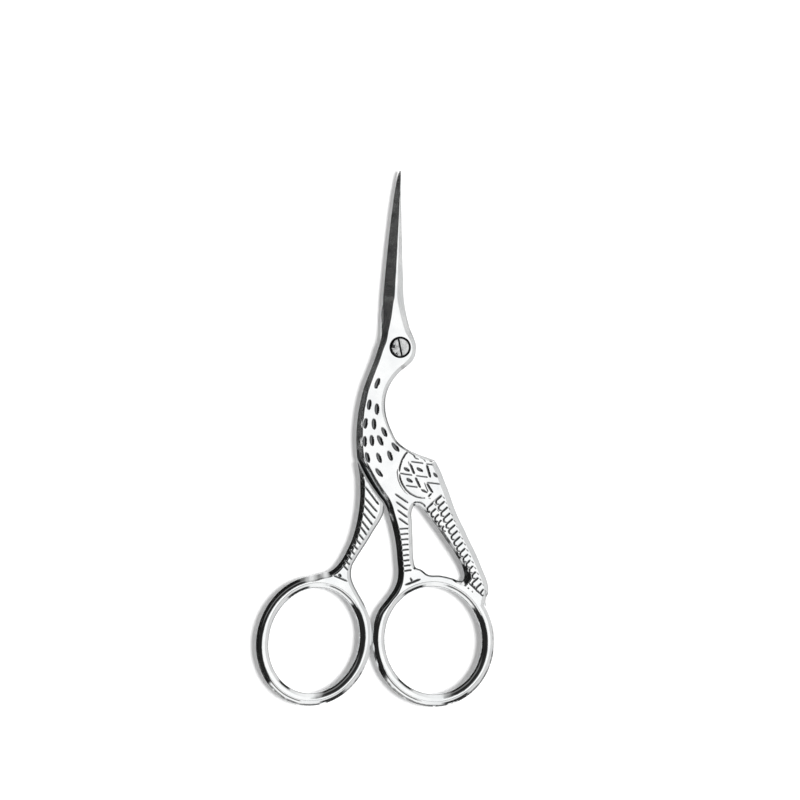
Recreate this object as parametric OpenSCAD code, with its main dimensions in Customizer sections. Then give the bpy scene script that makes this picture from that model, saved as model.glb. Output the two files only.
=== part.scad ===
// Stork embroidery scissors, closed and lying flat.
// The blades point along +Y, the front face is up (+Z), and the origin is on the pivot axis
// at the underside. Each half is one forging; they cross at half their thickness.

/* [Steel] */
// Thickness of the body, the legs and the lapped heads together
thickness = 3.4; // [2.8:0.05:4.2]
// Gap between the two ground faces where the halves lap
lap_gap = 0.04; // [0.02:0.01:0.1]
// Width of the rounded shoulder along every edge of the handles
shoulder = 0.95; // [0.5:0.05:1.2]

/* [Blades] */
// Pivot axis to the tip
blade_length = 37.7; // [30:0.5:48]
// Reach of the blade's spine to the left of the pivot axis, at the heel
blade_spine_reach = 3.68; // [3:0.02:4.4]
// Reach of the cutting edge to the right of the pivot axis, at the heel
blade_edge_reach = 0.77; // [0.4:0.01:1.2]
// Distance from the pivot axis to the heel, where the taper starts
blade_heel = 10; // [8:0.1:12]
// Width of the blunt end of the tip
tip_width = 0.2; // [0.15:0.01:0.5]
// Thickness of one blade at the tip
tip_thickness = 0.5; // [0.3:0.05:0.9]
// How much further the back half's heel shows at the left
heel_nub = 0.55; // [0:0.05:0.9]

/* [Head and pivot] */
// Reach of the head to the right of the pivot axis
head_right = 3.38; // [3.2:0.02:4]
// Reach of the head to the left of the pivot axis
head_left = 4.55; // [4.2:0.05:5.4]
// Diameter of the screw's head
screw_head_d = 4.15; // [3.4:0.05:4.2]
// Height of the screw's head
screw_head_h = 0.8; // [0.5:0.05:0.95]
// Radial gap round the screw's head in its counterbore
head_gap = 0.22; // [0.1:0.02:0.3]
// Depth of the screw's top below the front face
head_recess = 0.1; // [0.05:0.01:0.2]
// Diameter of the screw's plain shoulder, the bearing
shoulder_d = 2.9; // [2.6:0.05:3.2]
// Radial running gap between the shoulder and the front half
pivot_gap = 0.04; // [0.02:0.01:0.08]
// Outside diameter of the screw's thread in the back half
thread_d = 2.2; // [1.8:0.05:2.5]
// Width of the slot
slot_width = 0.5; // [0.4:0.05:0.7]
// Depth of the slot
slot_depth = 0.4; // [0.25:0.05:0.5]
// Angle of the slot as the screw was left
slot_angle = 101; // [0:1:180]

/* [Neck] */
// Width of the neck where it is narrowest
neck_width = 5.1; // [4.6:0.05:5.6]
// Distance from the pivot axis down to the narrowest place
neck_drop = 11.2; // [10.5:0.1:12]
// How far the middle of the neck stands to the left there
neck_lean = 5.8; // [5.5:0.05:6.1]
// How much narrower the hidden back neck is
neck_cover = 1; // [0.6:0.05:1.4]

/* [Body] */
// Reach of the breast to the left of the pivot axis
breast_reach = 9.35; // [9:0.05:9.7]
// Distance from the pivot axis down to the upper end of the seam between body and thigh
seam_top = 23; // [22.5:0.1:23.5]
// Distance from the pivot axis down to the lower end of the seam, the crotch
seam_bottom = 33.4; // [32.8:0.1:34]
// Gap along the seam when the scissors are closed
seam_gap = 0.35; // [0.2:0.05:0.6]
// Gap under the body between the front half's step and the back half's neck
step_gap = 0.4; // [0.25:0.05:0.6]

/* [Tail and leg] */
// Upper corner of the tail, to the right of the pivot axis
tail_corner_x = 7.3; // [6.8:0.05:7.8]
// Upper corner of the tail, below the pivot axis
tail_corner_drop = 24; // [23.6:0.1:24.6]
// Tip of the tail, to the right of the pivot axis
tail_tip_x = 18.6; // [18.2:0.05:19]
// Tip of the tail, below the pivot axis
tail_tip_drop = 51.3; // [50.8:0.1:51.8]
// Width of the tail at its lower end
tail_width = 3.5; // [3.1:0.05:4]
// Width of the tail where it leaves the body
tail_root_width = 6.6; // [6:0.1:7]
// Width of the front leg
leg_width = 3.3; // [2.8:0.05:3.8]
// Place of the front leg's middle, to the right of the pivot axis
leg_x = 0.85; // [0.5:0.05:1.2]

/* [Thigh] */
// Width of the back half's thigh where it is widest
thigh_width = 5; // [4.7:0.05:5.3]
// Width of the ankle above the foot
ankle_width = 4.2; // [3.6:0.05:4.8]

/* [Finger bows] */
// Width of the wire of both bows
wire = 2.62; // [2.2:0.02:3]
// Thickness of the wire of both bows
wire_thickness = 3.3; // [2.6:0.05:3.36]
// Width across the front bow
front_bow_width = 25.86; // [24:0.1:28]
// Height of the front bow
front_bow_height = 28.1; // [26:0.1:30]
// Lean of the front bow to the left
front_bow_lean = 6; // [0:1:12]
// Distance from the pivot axis to the front bow's middle, to the right
front_bow_x = 7; // [6.6:0.05:7.4]
// Width across the back bow
back_bow_width = 24.3; // [22:0.1:26]
// Height of the back bow
back_bow_height = 27.9; // [26:0.1:30]
// Lean of the back bow to the right
back_bow_lean = 16; // [8:1:22]
// Distance from the pivot axis down to the middle of both bows
bow_drop = 62.3; // [61.6:0.1:63]
// Gap between the two bows when the scissors are closed
bow_gap = 0.1; // [0.06:0.02:0.4]

/* [Hidden] */
// Points on a curve between two stations, stations down a blade, and points round a bow
steps = 3;
blade_steps = 9;
bow_steps = 60;
wire_sides = 12;
mid = thickness / 2;
far = 60;

// Finger bows: semi-axes of the wire's middle line, reach to the side, and middle point
front_axes = [front_bow_width - wire, front_bow_height - wire] / 2;
back_axes = [back_bow_width - wire, back_bow_height - wire] / 2;
front_lean = -front_bow_lean;
back_lean = back_bow_lean;
function side_reach(axes, lean) = norm([axes.x * cos(lean), axes.y * sin(lean)]) + wire / 2;
front_bow = [front_bow_x, -bow_drop];
back_bow = [
    front_bow_x - side_reach(front_axes, front_lean) - bow_gap - side_reach(back_axes, back_lean),
    -bow_drop
];

// Turn a point clockwise about the origin
function lean_point(p, lean) = [
    p.x * cos(lean) + p.y * sin(lean),
    -p.x * sin(lean) + p.y * cos(lean)
];
// Point on a bow's middle line, by the ellipse's own angle, moved outwards
function bow_point(middle, axes, lean, angle, out = 0) =
    let (across = lean_point([cos(angle) * axes.y, sin(angle) * axes.x], lean))
    middle + lean_point([axes.x * cos(angle), axes.y * sin(angle)], lean)
    + out * across / norm(across);

// The seam between the front half's body and the thigh, from the neck down to the crotch
seam_span = seam_bottom - seam_top;
function seam(t) = [
    -breast_reach - 0.1 + t * (breast_reach - 3.15) - 0.6 * sin(180 * t),
    -seam_top - t * seam_span
];
// Direction across the seam, towards the front half's body
function seam_side(t) =
    let (d = seam(t + 0.01) - seam(t - 0.01))
    [-d.y, d.x] / norm(d);

// The tail's outer edge, from its upper corner to its tip, a little bowed out
tail_corner = [tail_corner_x, -tail_corner_drop];
tail_run = [tail_tip_x, -tail_tip_drop] - tail_corner;
tail_side = [-tail_run.y, tail_run.x] / norm(tail_run);
function tail_outer(t) = tail_corner + t * tail_run + 0.75 * sin(180 * t) * tail_side;
function tail_inner(t) =
    tail_outer(t) - tail_side * (tail_root_width + (tail_width - tail_root_width) * min(1, t * 1.15));

// A station is [left point, right point, half thickness, left flank, right flank,
// side height as a share of the half thickness, roundness of the flanks from 0 to 1]

// Blade, from the tip to the heel
blade_run = blade_length - blade_heel;
function blade_station(t, cover, spine_left) =
    let (
        rest = 1 - t,
        left = -blade_spine_reach * pow(rest, 0.64) + cover,
        right = tip_width + (blade_edge_reach - tip_width) * pow(rest, 1.7) - cover / 2,
        y = blade_heel + t * blade_run,
        width = right - left,
        half = tip_thickness + (mid - tip_thickness) * pow(rest, 0.8),
        wide = 0.66 * width,
        narrow = 0.24 * width
    )
    [[left, y], [right, y], half, spine_left ? wide : narrow, spine_left ? narrow : wide, 0.12, 0.15];
function blade(cover, spine_left) = [
    for (i = [blade_steps:-1:0]) blade_station(i / blade_steps, cover, spine_left)
];

// Head, from the heel to the top of the neck; the right side follows the head's round end
function head(cover, nub) = [
    [[-blade_spine_reach - 0.02 - nub, 5.8], [head_right - 1.72 - cover, 5.8], mid, 1.5, 1, 0.25, 0.4],
    [[-blade_spine_reach - 0.2 - nub, 3], [head_right - 0.95 - cover, 3], mid, 1.2, 1, 0.3, 0.7],
    [[-head_left + cover, 0.2], [head_right - cover, 0.6], mid, shoulder, shoulder, 0.35, 1],
    [[-head_left - 0.6 + cover, -1.6], [head_right - 0.2 - cover, -1.7], mid, shoulder, shoulder, 0.35, 1],
    [[-head_left - 1.2 + cover, -3.3], [head_right - 1.35 - cover, -3.5], mid, shoulder, shoulder, 0.35, 1]
];

// Neck, down to the breast
function neck_point(side, drop, lean) = [-neck_lean - lean + side * neck_width / 2, -drop];
front_neck = [
    for (s = [
        [neck_point(-1, neck_drop - 5.4, -1.65), neck_point(1, neck_drop - 5.8, -2.75)],
        [neck_point(-1, neck_drop - 2.6, -0.72), neck_point(1, neck_drop - 2.6, -0.75)],
        [neck_point(-1, neck_drop, 0), neck_point(1, neck_drop, 0)],
        [neck_point(-1, neck_drop + 3.2, 0.62), neck_point(1, neck_drop + 3.2, -0.2)],
        [[-breast_reach, -seam_top + 4.7], neck_point(1, neck_drop + 6.4, -1.35)],
        [[-breast_reach - 0.04, -seam_top + 2.3], [0.2, -neck_drop - 9.3]]
    ])
    [s[0], s[1], mid, shoulder, shoulder, 0.35, 1]
];

// Body and front leg, down to the front bow
leg_left = leg_x - leg_width / 2;
leg_right = leg_x + leg_width / 2;
function body_left(t) = seam(t) + seam_side(t) * seam_gap / 2;
front_leg = [
    for (s = [
        [body_left(0.03), [2.4, -seam_top - 0.5]],
        [body_left(0.35), [3.6, -seam_top - 4]],
        [body_left(0.7), [3.6, -seam_top - 7.5]],
        [body_left(0.98), [leg_right, -seam_bottom - 0.4]],
        [[leg_left - 1.05, -seam_bottom - 4], [leg_right, -seam_bottom - 4]],
        [[leg_left - 0.1, -seam_bottom - 8.4], [leg_right + 0.05, -seam_bottom - 8.4]],
        [[leg_left + 0.35, -seam_bottom - 12.4], [leg_right + 0.4, -seam_bottom - 12.2]],
        [[leg_left + 0.5, -seam_bottom - 14.8], [leg_right + 1.7, -seam_bottom - 13.65]],
        [[leg_left - 0.1, -seam_bottom - 17.2], [leg_right + 3.1, -seam_bottom - 14.8]]
    ])
    [s[0], s[1], mid, shoulder, shoulder, 0.35, 1]
];
front_leg_end = [
    bow_point(front_bow, front_axes, front_lean, 138, 0.3),
    bow_point(front_bow, front_axes, front_lean, 98, 0.3),
    wire_thickness / 4, 0.5, 0.5, 0.3, 1
];

// Tail, from the top of the body to the front bow
front_tail = [
    for (s = [
        [[0.6, -neck_drop - 9.9], tail_corner],
        [[0.4, -tail_corner_drop - 2.2], tail_outer(0.1)],
        [[1.4, -tail_corner_drop - 7.2], tail_outer(0.2)],
        [tail_inner(0.36) - [1, 0.3], tail_outer(0.33)],
        [tail_inner(0.52), tail_outer(0.5)],
        [tail_inner(0.7), tail_outer(0.68)],
        [tail_inner(0.86), tail_outer(0.84)],
        [tail_inner(0.94), tail_outer(0.95)],
        [tail_inner(1.03) - [0.7, 0], tail_outer(1.03) - [0.1, 0.1]]
    ])
    [s[0], s[1], mid - 0.02, shoulder, shoulder, 0.35, 1]
];
front_tail_end = [
    bow_point(front_bow, front_axes, front_lean, 44, -0.1),
    bow_point(front_bow, front_axes, front_lean, 32, 0.2),
    wire_thickness / 4, 0.4, 0.4, 0.3, 1
];

// Hidden back neck, under the front neck; its right side goes down to the crotch in a gentle line
function hidden_side(t) = [
    seam(1).x - 0.3 - neck_cover * 0.95 * (1 - t),
    -neck_drop - 3.2 - t * (seam_bottom - neck_drop - 3.6)
];
back_neck = [
    for (s = [
        [neck_point(-1, neck_drop - 5.4, -1.65), neck_point(1, neck_drop - 5.6, -2.5 + neck_cover)],
        [neck_point(-1, neck_drop - 2.6, -0.72), neck_point(1, neck_drop - 2.6, -0.8 + neck_cover)],
        [neck_point(-1, neck_drop, 0), hidden_side(-0.15) + [0.1, 0]],
        [neck_point(-1, neck_drop + 3.2, 0.62), hidden_side(0)],
        [[-breast_reach, -seam_top + 4.7], hidden_side(0.18)],
        [[-breast_reach, -seam_top + 2.3], hidden_side(0.34)]
    ])
    [s[0] + [0.15, 0], s[1], mid, shoulder, shoulder, 0.35, 1]
];

// Thigh: the left edge follows the breast and then swings out to the back bow
function thigh_right(t) =
    seam(1) - seam_side(1) * seam_gap / 2 + [0.1 + 0.15 * sin(180 * t), 0] + t * [-6.9, -13.8];
thigh = [
    for (s = [
        [[-breast_reach + 0.2, -seam_top - 1], hidden_side(0.5)],
        [[-breast_reach + 0.75, -seam_top - 4.4], hidden_side(0.68)],
        [[-breast_reach + 0.85, -seam_top - 7.6], hidden_side(0.85)],
        [thigh_right(0.02) - [thigh_width, 0], thigh_right(0.02)],
        [thigh_right(0.2) - [thigh_width - 0.45, 0.3], thigh_right(0.2)],
        [thigh_right(0.45) - [thigh_width - 0.95, 0.3], thigh_right(0.45)],
        [thigh_right(0.7) - [thigh_width - 1.2, 0.3], thigh_right(0.7)],
        [thigh_right(0.92) - [ankle_width - 0.4, 0.5], thigh_right(0.92)],
        [thigh_right(1.08) - [ankle_width + 1.2, -0.7], thigh_right(1.08) + [0.5, 0]]
    ])
    [s[0], s[1], mid, shoulder, shoulder, 0.35, 1]
];
thigh_end = [
    bow_point(back_bow, back_axes, back_lean, 98, 0.3),
    bow_point(back_bow, back_axes, back_lean, 52, 0.3),
    wire_thickness / 4, 0.5, 0.5, 0.3, 1
];

// Smooth curve through four points, between the middle two
function blend(a, b, c, d, t) =
    0.5 * (2 * b + (c - a) * t + (2 * a - 5 * b + 4 * c - d) * t * t
    + (3 * b - a - 3 * c + d) * t * t * t);
function smooth(s) = [
    for (i = [0:len(s) - 2], k = [0:steps - 1])
        let (a = s[max(i - 1, 0)], b = s[i], c = s[i + 1], d = s[min(i + 2, len(s) - 1)])
        [
            for (j = [0:6])
                j < 2 ? blend(a[j], b[j], c[j], d[j], k / steps) : b[j] + (c[j] - b[j]) * k / steps
        ],
    s[len(s) - 1]
];

// Outline of one station's cross-section, twelve points from the lower left round to the upper left
function section(s) =
    let (
        width = norm(s[1] - s[0]),
        along = (s[1] - s[0]) / width,
        fl = min(s[3], 0.48 * width),
        fr = min(s[4], 0.48 * width),
        edge = s[5],
        bulge = edge + (1 - edge) * (0.3 + 0.41 * s[6]),
        upper = [
            [width, edge], [width - 0.3 * fr, bulge], [width - fr, 1],
            [fl, 1], [0.3 * fl, bulge], [0, edge]
        ],
        lower = [for (i = [5:-1:0]) [upper[i].x, -upper[i].y]]
    )
    [
        for (p = concat(lower, upper))
            let (q = s[0] + along * p.x)
            [q.x, q.y, mid + s[2] * p.y]
    ];

// Closed solid through a row of cross-sections with the same number of points
module loft(rings, closed = false) {
    n = len(rings[0]);
    m = len(rings);
    rows = closed ? m : m - 1;
    points = [for (r = rings, p = r) p];
    sides = [
        for (i = [0:rows - 1], j = [0:n - 1])
            let (
                a = i * n + j,
                b = i * n + (j + 1) % n,
                c = ((i + 1) % m) * n + (j + 1) % n,
                d = ((i + 1) % m) * n + j
            )
            each [[a, c, b], [a, d, c]]
    ];
    caps = closed ? [] : [
        [for (j = [0:n - 1]) j],
        [for (j = [n - 1:-1:0]) (m - 1) * n + j]
    ];
    polyhedron(points, concat(sides, caps), convexity = 8);
}

module strip(stations) {
    loft([for (s = smooth(stations)) section(s)]);
}

module bow(middle, axes, lean) {
    loft([
        for (i = [0:bow_steps - 1])
            let (a = -360 * i / bow_steps)
            [
                for (j = [0:wire_sides - 1])
                    let (
                        b = 360 * j / wire_sides,
                        p = bow_point(middle, axes, lean, a, wire / 2 * cos(b))
                    )
                    [p.x, p.y, mid + wire_thickness / 2 * sin(b)]
            ]
    ], closed = true);
}

// Everything of the front half below its lap face: under the blade, the head and the neck, and
// under the body up to the step beside the back half's neck
step_line = [
    [far, hidden_side(0.25).y],
    hidden_side(0.25) + [step_gap + 0.4, 0],
    hidden_side(0.35) + [step_gap, 0],
    hidden_side(0.95) + [step_gap, 0],
    body_left(1) - [0, 0.6],
    [-far, -seam_bottom - 0.8]
];
module front_relief() {
    translate([0, 0, -1])
        linear_extrude(mid + lap_gap / 2 + 1)
            polygon(concat([[-far, far], [far, far]], step_line));
}

// Everything of the back half above its lap face: over the blade, the head and the neck, down to
// the seam
back_relief_line = concat(
    [[far, -seam_bottom - 1], seam(1) + [1.5, -0.4]],
    [for (t = [1:-0.125:0]) seam(t) - seam_side(t) * seam_gap / 2],
    [[-breast_reach - 2, -seam_top + 0.6], [-far, -seam_top + 0.6]]
);
module back_relief() {
    translate([0, 0, mid - lap_gap / 2])
        linear_extrude(mid + 1)
            polygon(concat([[-far, far], [far, far]], back_relief_line));
}

// Heights at the pivot, from the underside up
head_seat = thickness - head_recess - screw_head_h;

module front_half() {
    color([0.86, 0.87, 0.88])
        difference() {
            union() {
                strip(concat(
                    blade(0, true), head(0, 0), front_neck, front_leg, [front_leg_end]
                ));
                strip(concat(front_tail, [front_tail_end]));
                bow(front_bow, front_axes, front_lean);
            }
            front_relief();
            translate([0, 0, -1]) cylinder(h = thickness + 2, d = shoulder_d + 2 * pivot_gap, $fn = 64);
            translate([0, 0, head_seat - lap_gap])
                cylinder(h = thickness, d = screw_head_d + 2 * head_gap, $fn = 64);
        }
}

module back_half() {
    color([0.72, 0.74, 0.76])
        difference() {
            union() {
                strip(concat(
                    blade(0.06, false), head(0.12, heel_nub), back_neck, thigh, [thigh_end]
                ));
                bow(back_bow, back_axes, back_lean);
            }
            back_relief();
            translate([0, 0, -1]) cylinder(h = thickness, d = thread_d, $fn = 64);
        }
}

module pivot_screw() {
    color([0.62, 0.62, 0.6])
        difference() {
            union() {
                cylinder(h = mid, d = thread_d, $fn = 64);
                translate([0, 0, mid - lap_gap / 2])
                    cylinder(h = head_seat - mid + lap_gap, d = shoulder_d, $fn = 64);
                translate([0, 0, head_seat]) cylinder(h = screw_head_h, d = screw_head_d, $fn = 64);
            }
            translate([0, 0, thickness - head_recess - slot_depth])
                rotate([0, 0, slot_angle])
                    translate([-screw_head_d, -slot_width / 2, 0])
                        cube([2 * screw_head_d, slot_width, slot_depth + 1]);
        }
}

front_half();
back_half();
pivot_screw();
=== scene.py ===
"""Stork embroidery scissors: the visual model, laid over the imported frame.

Both halves are built the way the real ones are made: a blank with its outline and ground
flanks first, then engraving dies that press the feathers, the wing and the scales into it.
Lengths inside this file are millimetres and become metres when a mesh is made.
"""

import math

import bpy
import numpy as np
from bpy.props import FloatProperty, PointerProperty, StringProperty
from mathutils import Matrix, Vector, noise
from mathutils.bvhtree import BVHTree
from mathutils.geometry import delaunay_2d_cdt


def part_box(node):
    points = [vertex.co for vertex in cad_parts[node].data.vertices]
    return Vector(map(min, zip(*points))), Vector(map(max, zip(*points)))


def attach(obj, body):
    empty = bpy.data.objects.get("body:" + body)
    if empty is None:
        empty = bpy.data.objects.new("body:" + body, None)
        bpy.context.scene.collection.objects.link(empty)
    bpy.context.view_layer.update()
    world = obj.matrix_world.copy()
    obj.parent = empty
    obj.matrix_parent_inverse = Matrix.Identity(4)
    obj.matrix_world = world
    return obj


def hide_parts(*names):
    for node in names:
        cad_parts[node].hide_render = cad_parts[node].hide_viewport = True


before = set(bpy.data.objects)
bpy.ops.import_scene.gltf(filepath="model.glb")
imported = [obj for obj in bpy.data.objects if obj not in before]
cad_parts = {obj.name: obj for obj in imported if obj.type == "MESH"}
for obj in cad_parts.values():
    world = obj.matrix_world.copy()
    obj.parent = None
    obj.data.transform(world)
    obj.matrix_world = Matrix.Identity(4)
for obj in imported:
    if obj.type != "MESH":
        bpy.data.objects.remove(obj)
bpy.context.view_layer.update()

bl_info = {
    "name": "Stork embroidery scissors",
    "version": (1, 0, 0),
    "blender": (4, 5, 0),
    "location": "3D View > Sidebar > Scissors",
    "description": "Builds the dressed stork embroidery scissors over their packed solids",
    "category": "Object",
}

MM = 0.001
THICK = round(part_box("front_half")[1].z / MM, 3)
MID = THICK / 2
# Half the gap between the ground faces, a length well outside the scissors, step along an outline
LAP, FAR, OUTLINE_STEP = 0.02, 60, 0.24


# Outlines, in mm from the pivot: y of the blade's heel and tip
HEEL, TIP = 10.0, 37.7
# Height of a blade above its middle at the tip
TIP_HALF = 0.5


def blade_row(t):
    """Left edge, right edge, height above the middle and y of the blade, t from heel to tip."""
    # powers of the way that is left to the tip, fitted to the outline in the photo
    rest = 1 - t
    left = -3.68 * rest**0.64
    right = 0.2 + 0.57 * rest**1.7
    half = TIP_HALF + (MID - TIP_HALF) * rest**0.8
    return left, right, half, HEEL + t * (TIP - HEEL)


BLADE_STEPS = [1, 0.995, 0.98, 0.95, 0.91, 0.86, 0.8, 0.7, 0.6, 0.5, 0.4, 0.3, 0.2, 0.1, 0.03]


def blade_flank(rows, tip, heel):
    """Widths and slopes of a blade's flank, its share of the blade at the tip and at the heel."""
    share = [heel + (tip - heel) * ((r[3] - HEEL) / (TIP - HEEL)) ** 1.3 for r in rows]
    width = [(r[1] - r[0]) * s for r, s in zip(rows, share)]
    return width, [min(0.84 * r[2] / w, 0.84) for r, w in zip(rows, width)]


NECK_LEFT = [
    (-3.61, 6.25), (-3.68, 3.7), (-4, 1.57), (-4.55, 0.08), (-5.46, -2.68), (-6.29, -4.8),
    (-7.84, -9.05), (-8.8, -13.3), (-9.27, -17.55), (-9.33, -20.1), (-9.25, -22),
]
LEG_LEFT = [
    (-2.89, -33.9), (-2.38, -35.62), (-1.47, -38.8), (-0.89, -41.99), (-0.6, -45.18),
    (-0.42, -47.94), (-0.68, -49.85), (-1.42, -51.55), (-2.53, -53.15),
]
TAIL_OUTER = [
    (18.36, -55.17), (18.15, -54.1), (18.27, -53.15), (18.7, -52.19), (18.76, -51.23),
    (18.36, -49.43), (17.49, -47.3), (16.64, -45.18), (15.68, -43.05), (14.62, -40.93),
    (13.66, -38.8), (12.6, -36.68), (11.65, -34.55), (10.9, -32.43), (10.16, -30.3),
    (9.31, -28.18), (8.46, -26.05), (7.82, -24.78), (7.33, -23.97),
]
BODY_TOP = [
    (7.33, -23.97), (4.06, -22.82), (1.59, -21.7), (-0.68, -19.89), (-1.95, -17.55),
    (-2.74, -15.43), (-3.17, -13.3), (-3.17, -11.18), (-2.66, -9.05), (-1.53, -6.93),
    (0.13, -5.02), (1.66, -3.8), (2.72, -2.68), (3.21, -1.62), (3.37, -0.55), (3.35, 0.51),
    (3.06, 1.57), (2.64, 2.63), (2.19, 3.7), (1.57, 5.82), (1.1, 7.95),
]
TRIANGLE = [
    (2.64, -40.93), (2.74, -43.48), (2.89, -45.5), (3.27, -46.75), (4.42, -47.22),
    (5.89, -48.28), (8.59, -48.51), (11.16, -49.11), (12.6, -49.64), (13.3, -49.56),
    (13.62, -48.79), (13.45, -47.3), (12.4, -44.95), (10.2, -41.6), (7.85, -38.2),
    (5.6, -35.2), (4.75, -34.2), (3.8, -33.55), (2.95, -33.7), (2.52, -34.6),
    (2.57, -37.74),
]
TRIANGLE_FLANK = [
    0.9, 0.9, 0.9, 0.6, 0.4, 0.4, 0.4, 0.4, 0.7, 1.25, 1.7, 1.1, 0.65, 0.62, 0.62, 0.62, 0.65,
    0.7, 0.75, 0.85, 0.9,
]
# Painted shade at the very edge of the triangular opening, for each of its points
TRIANGLE_EDGE_SHADE = [
    0.08, 0.08, 0.12, 0.3, 0.35, 0.35, 0.35, 0.3, 0.3, 0.2, 0.2, 0.2, 0.1, 0.1, 0.1, 0.1, 0.1,
    0.1, 0.1, 0.1, 0.08,
]
THIGH_LEFT = [
    (-9.12, -20.6), (-9.2, -21.8), (-9.2, -23.4), (-8.97, -24.99), (-8.61, -27.12),
    (-8.48, -29.88), (-8.54, -32.43), (-8.75, -34.55), (-9.12, -36.68), (-9.6, -38.8),
    (-10.28, -40.93), (-11.24, -43.05), (-12.41, -45.18), (-13.64, -46.67), (-15, -47.64),
    (-16.62, -47.98),
]
THIGH_RIGHT = [
    (-7.69, -54.53), (-9.22, -51.77), (-9.97, -50.28), (-10.41, -48.79), (-10.41, -47.52),
    (-10.14, -46.24), (-9.56, -45.18), (-8.22, -43.05), (-6.84, -40.93), (-5.57, -38.8),
    (-4.23, -36.68), (-3.53, -35.08), (-3.42, -33.8),
]
# Back half where it lies under the front half: from the crotch up to the heel
HIDDEN_RIGHT = [
    (-3.55, -33), (-3.69, -30.2), (-3.93, -25.6), (-4.15, -21.2), (-4.38, -16.8),
    (-4.5, -14.4), (-4.5, -11.6), (-3.45, -8.6), (-1.75, -5.7), (1.4, -3.75), (2.75, -2.2),
    (3.2, -0.55), (3.2, 0.6), (2.5, 2.6), (1.75, 4.9), (1.1, 7.6),
]
HIDDEN_LEFT = [
    (-3.62, 9.3), (-3.92, 8.1), (-4.16, 6.6), (-4.24, 5), (-4.25, 3.2), (-4.2, 2.2),
    (-4.3, 1.2), (-4.62, -0.3), (-5.31, -2.68), (-6.14, -4.8), (-7.69, -9.05),
    (-8.65, -13.3), (-9.1, -17.55), (-9.15, -19.6),
]
# Finger bows: middle, semi-axes of the wire's middle line, lean to the right in degrees
WIRE, OUTER_FLANK = 2.62, 1.26
FRONT_BOW = ((7.0, -62.3), (11.62, 12.74), -6)
BACK_BOW = ((-18.34, -62.3), (10.84, 12.64), 16)
# Half the open line between body and thigh
SEAM = 0.175


def seam(t, side):
    """The line between body and thigh, moved by side towards the body."""
    def at(s):
        return np.array([-9.45 + 6.2 * s - 0.6 * math.sin(math.pi * s), -23 - 10.4 * s])
    d = at(t + 0.01) - at(t - 0.01)
    n = np.array([-d[1], d[0]]) / np.hypot(*d)
    return tuple(at(t) + n * side)


def bow_point(bow, angle, out):
    """A point on a finger bow, out from the middle line of its wire."""
    (cx, cy), (a, b), lean = bow
    c, s = math.cos(math.radians(lean)), math.sin(math.radians(lean))
    ca, sa = math.cos(math.radians(angle)), math.sin(math.radians(angle))
    nx, ny = b * ca, a * sa
    k = out / math.hypot(nx, ny)
    x, y = a * ca + nx * k, b * sa + ny * k
    return cx + x * c + y * s, cy - x * s + y * c


# A rim point is x, y, flank width, flank slope, the share of the flank that is rounded next to
# its crest, painted shade at the very edge, group and lap bevel.
def rim(points, width, slope, arc, film_and_shade, group, bevel=0.0):
    """Gives each point its flank; the values may be lists spread over the points."""
    n = len(points)
    s = np.linspace(0, 1, n)
    rows = [np.array([p[0] for p in points], float), np.array([p[1] for p in points], float)]
    for v in (width, slope, arc, film_and_shade):
        v = np.atleast_1d(np.array(v, float))
        rows.append(np.interp(s, np.linspace(0, 1, len(v)), v) if len(v) > 1 else np.full(n, v[0]))
    rows.append(np.full(n, float(group)))
    rows.append(np.full(n, float(bevel)) if np.isscalar(bevel) else np.array(bevel, float))
    return np.stack(rows, 1)


def bow_rim(bow, start, stop, out, group):
    """The wire of a bow: its crest lies nearer the outside, and it curls in further inside."""
    count = max(4, round(abs(stop - start) / 6))
    angles = np.linspace(start, stop, count)
    points = [bow_point(bow, a, out) for a in angles]
    wide = np.array([OUTER_FLANK - 0.14 * math.cos(math.radians(a)) for a in angles])
    if out > 0:
        return rim(points, wide, 0.88, 0.65, 0, group)
    return rim(points, WIRE - wide, 1.25, 1, 0, group)


def along(rows, spacing, closed=False):
    """Smooth curve through the rim points; the flank values run evenly between them."""
    p = rows[:, :2]
    n = len(p)
    if closed:
        prev, nxt = np.roll(p, 1, 0), np.roll(p, -1, 0)
    else:
        prev = np.vstack([2 * p[0] - p[1], p[:-1]])
        nxt = np.vstack([p[1:], 2 * p[-1] - p[-2]])
    da = np.linalg.norm(p - prev, axis=1)[:, None] + 1e-9
    db = np.linalg.norm(nxt - p, axis=1)[:, None] + 1e-9
    tangent = ((p - prev) / da * db + (nxt - p) / db * da) / (da + db)
    out = []
    for i in range(n if closed else n - 1):
        j = (i + 1) % n
        d = float(np.linalg.norm(p[j] - p[i]))
        k = max(1, round(d / spacing))
        t = (np.arange(k) / k)[:, None]
        h = (
            (2 * t**3 - 3 * t**2 + 1) * p[i] + (t**3 - 2 * t**2 + t) * d * tangent[i]
            + (3 * t**2 - 2 * t**3) * p[j] + (t**3 - t**2) * d * tangent[j]
        )
        row = rows[i, 2:] + (rows[j, 2:] - rows[i, 2:]) * t
        row[:, 4] = rows[i, 6]
        out.append(np.hstack([h, row]))
    if not closed:
        out.append(rows[-1:])
    return np.vstack(out)


def loop_of(paths, spacing, hole=False):
    """One closed outline of several smooth paths that meet at corners, material on its left."""
    if len(paths) == 1:
        rows = along(paths[0], spacing, closed=True)
    else:
        parts = [along(r, spacing) for r in paths]
        rows = np.vstack([q[:-1] if np.allclose(q[-1, :2], parts[(i + 1) % len(parts)][0, :2])
                          else q for i, q in enumerate(parts)])
    x, y = rows[:, 0], rows[:, 1]
    area = float(np.sum(x * np.roll(y, -1) - np.roll(x, -1) * y))
    return rows[::-1] if (area < 0) != hole else rows


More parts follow.
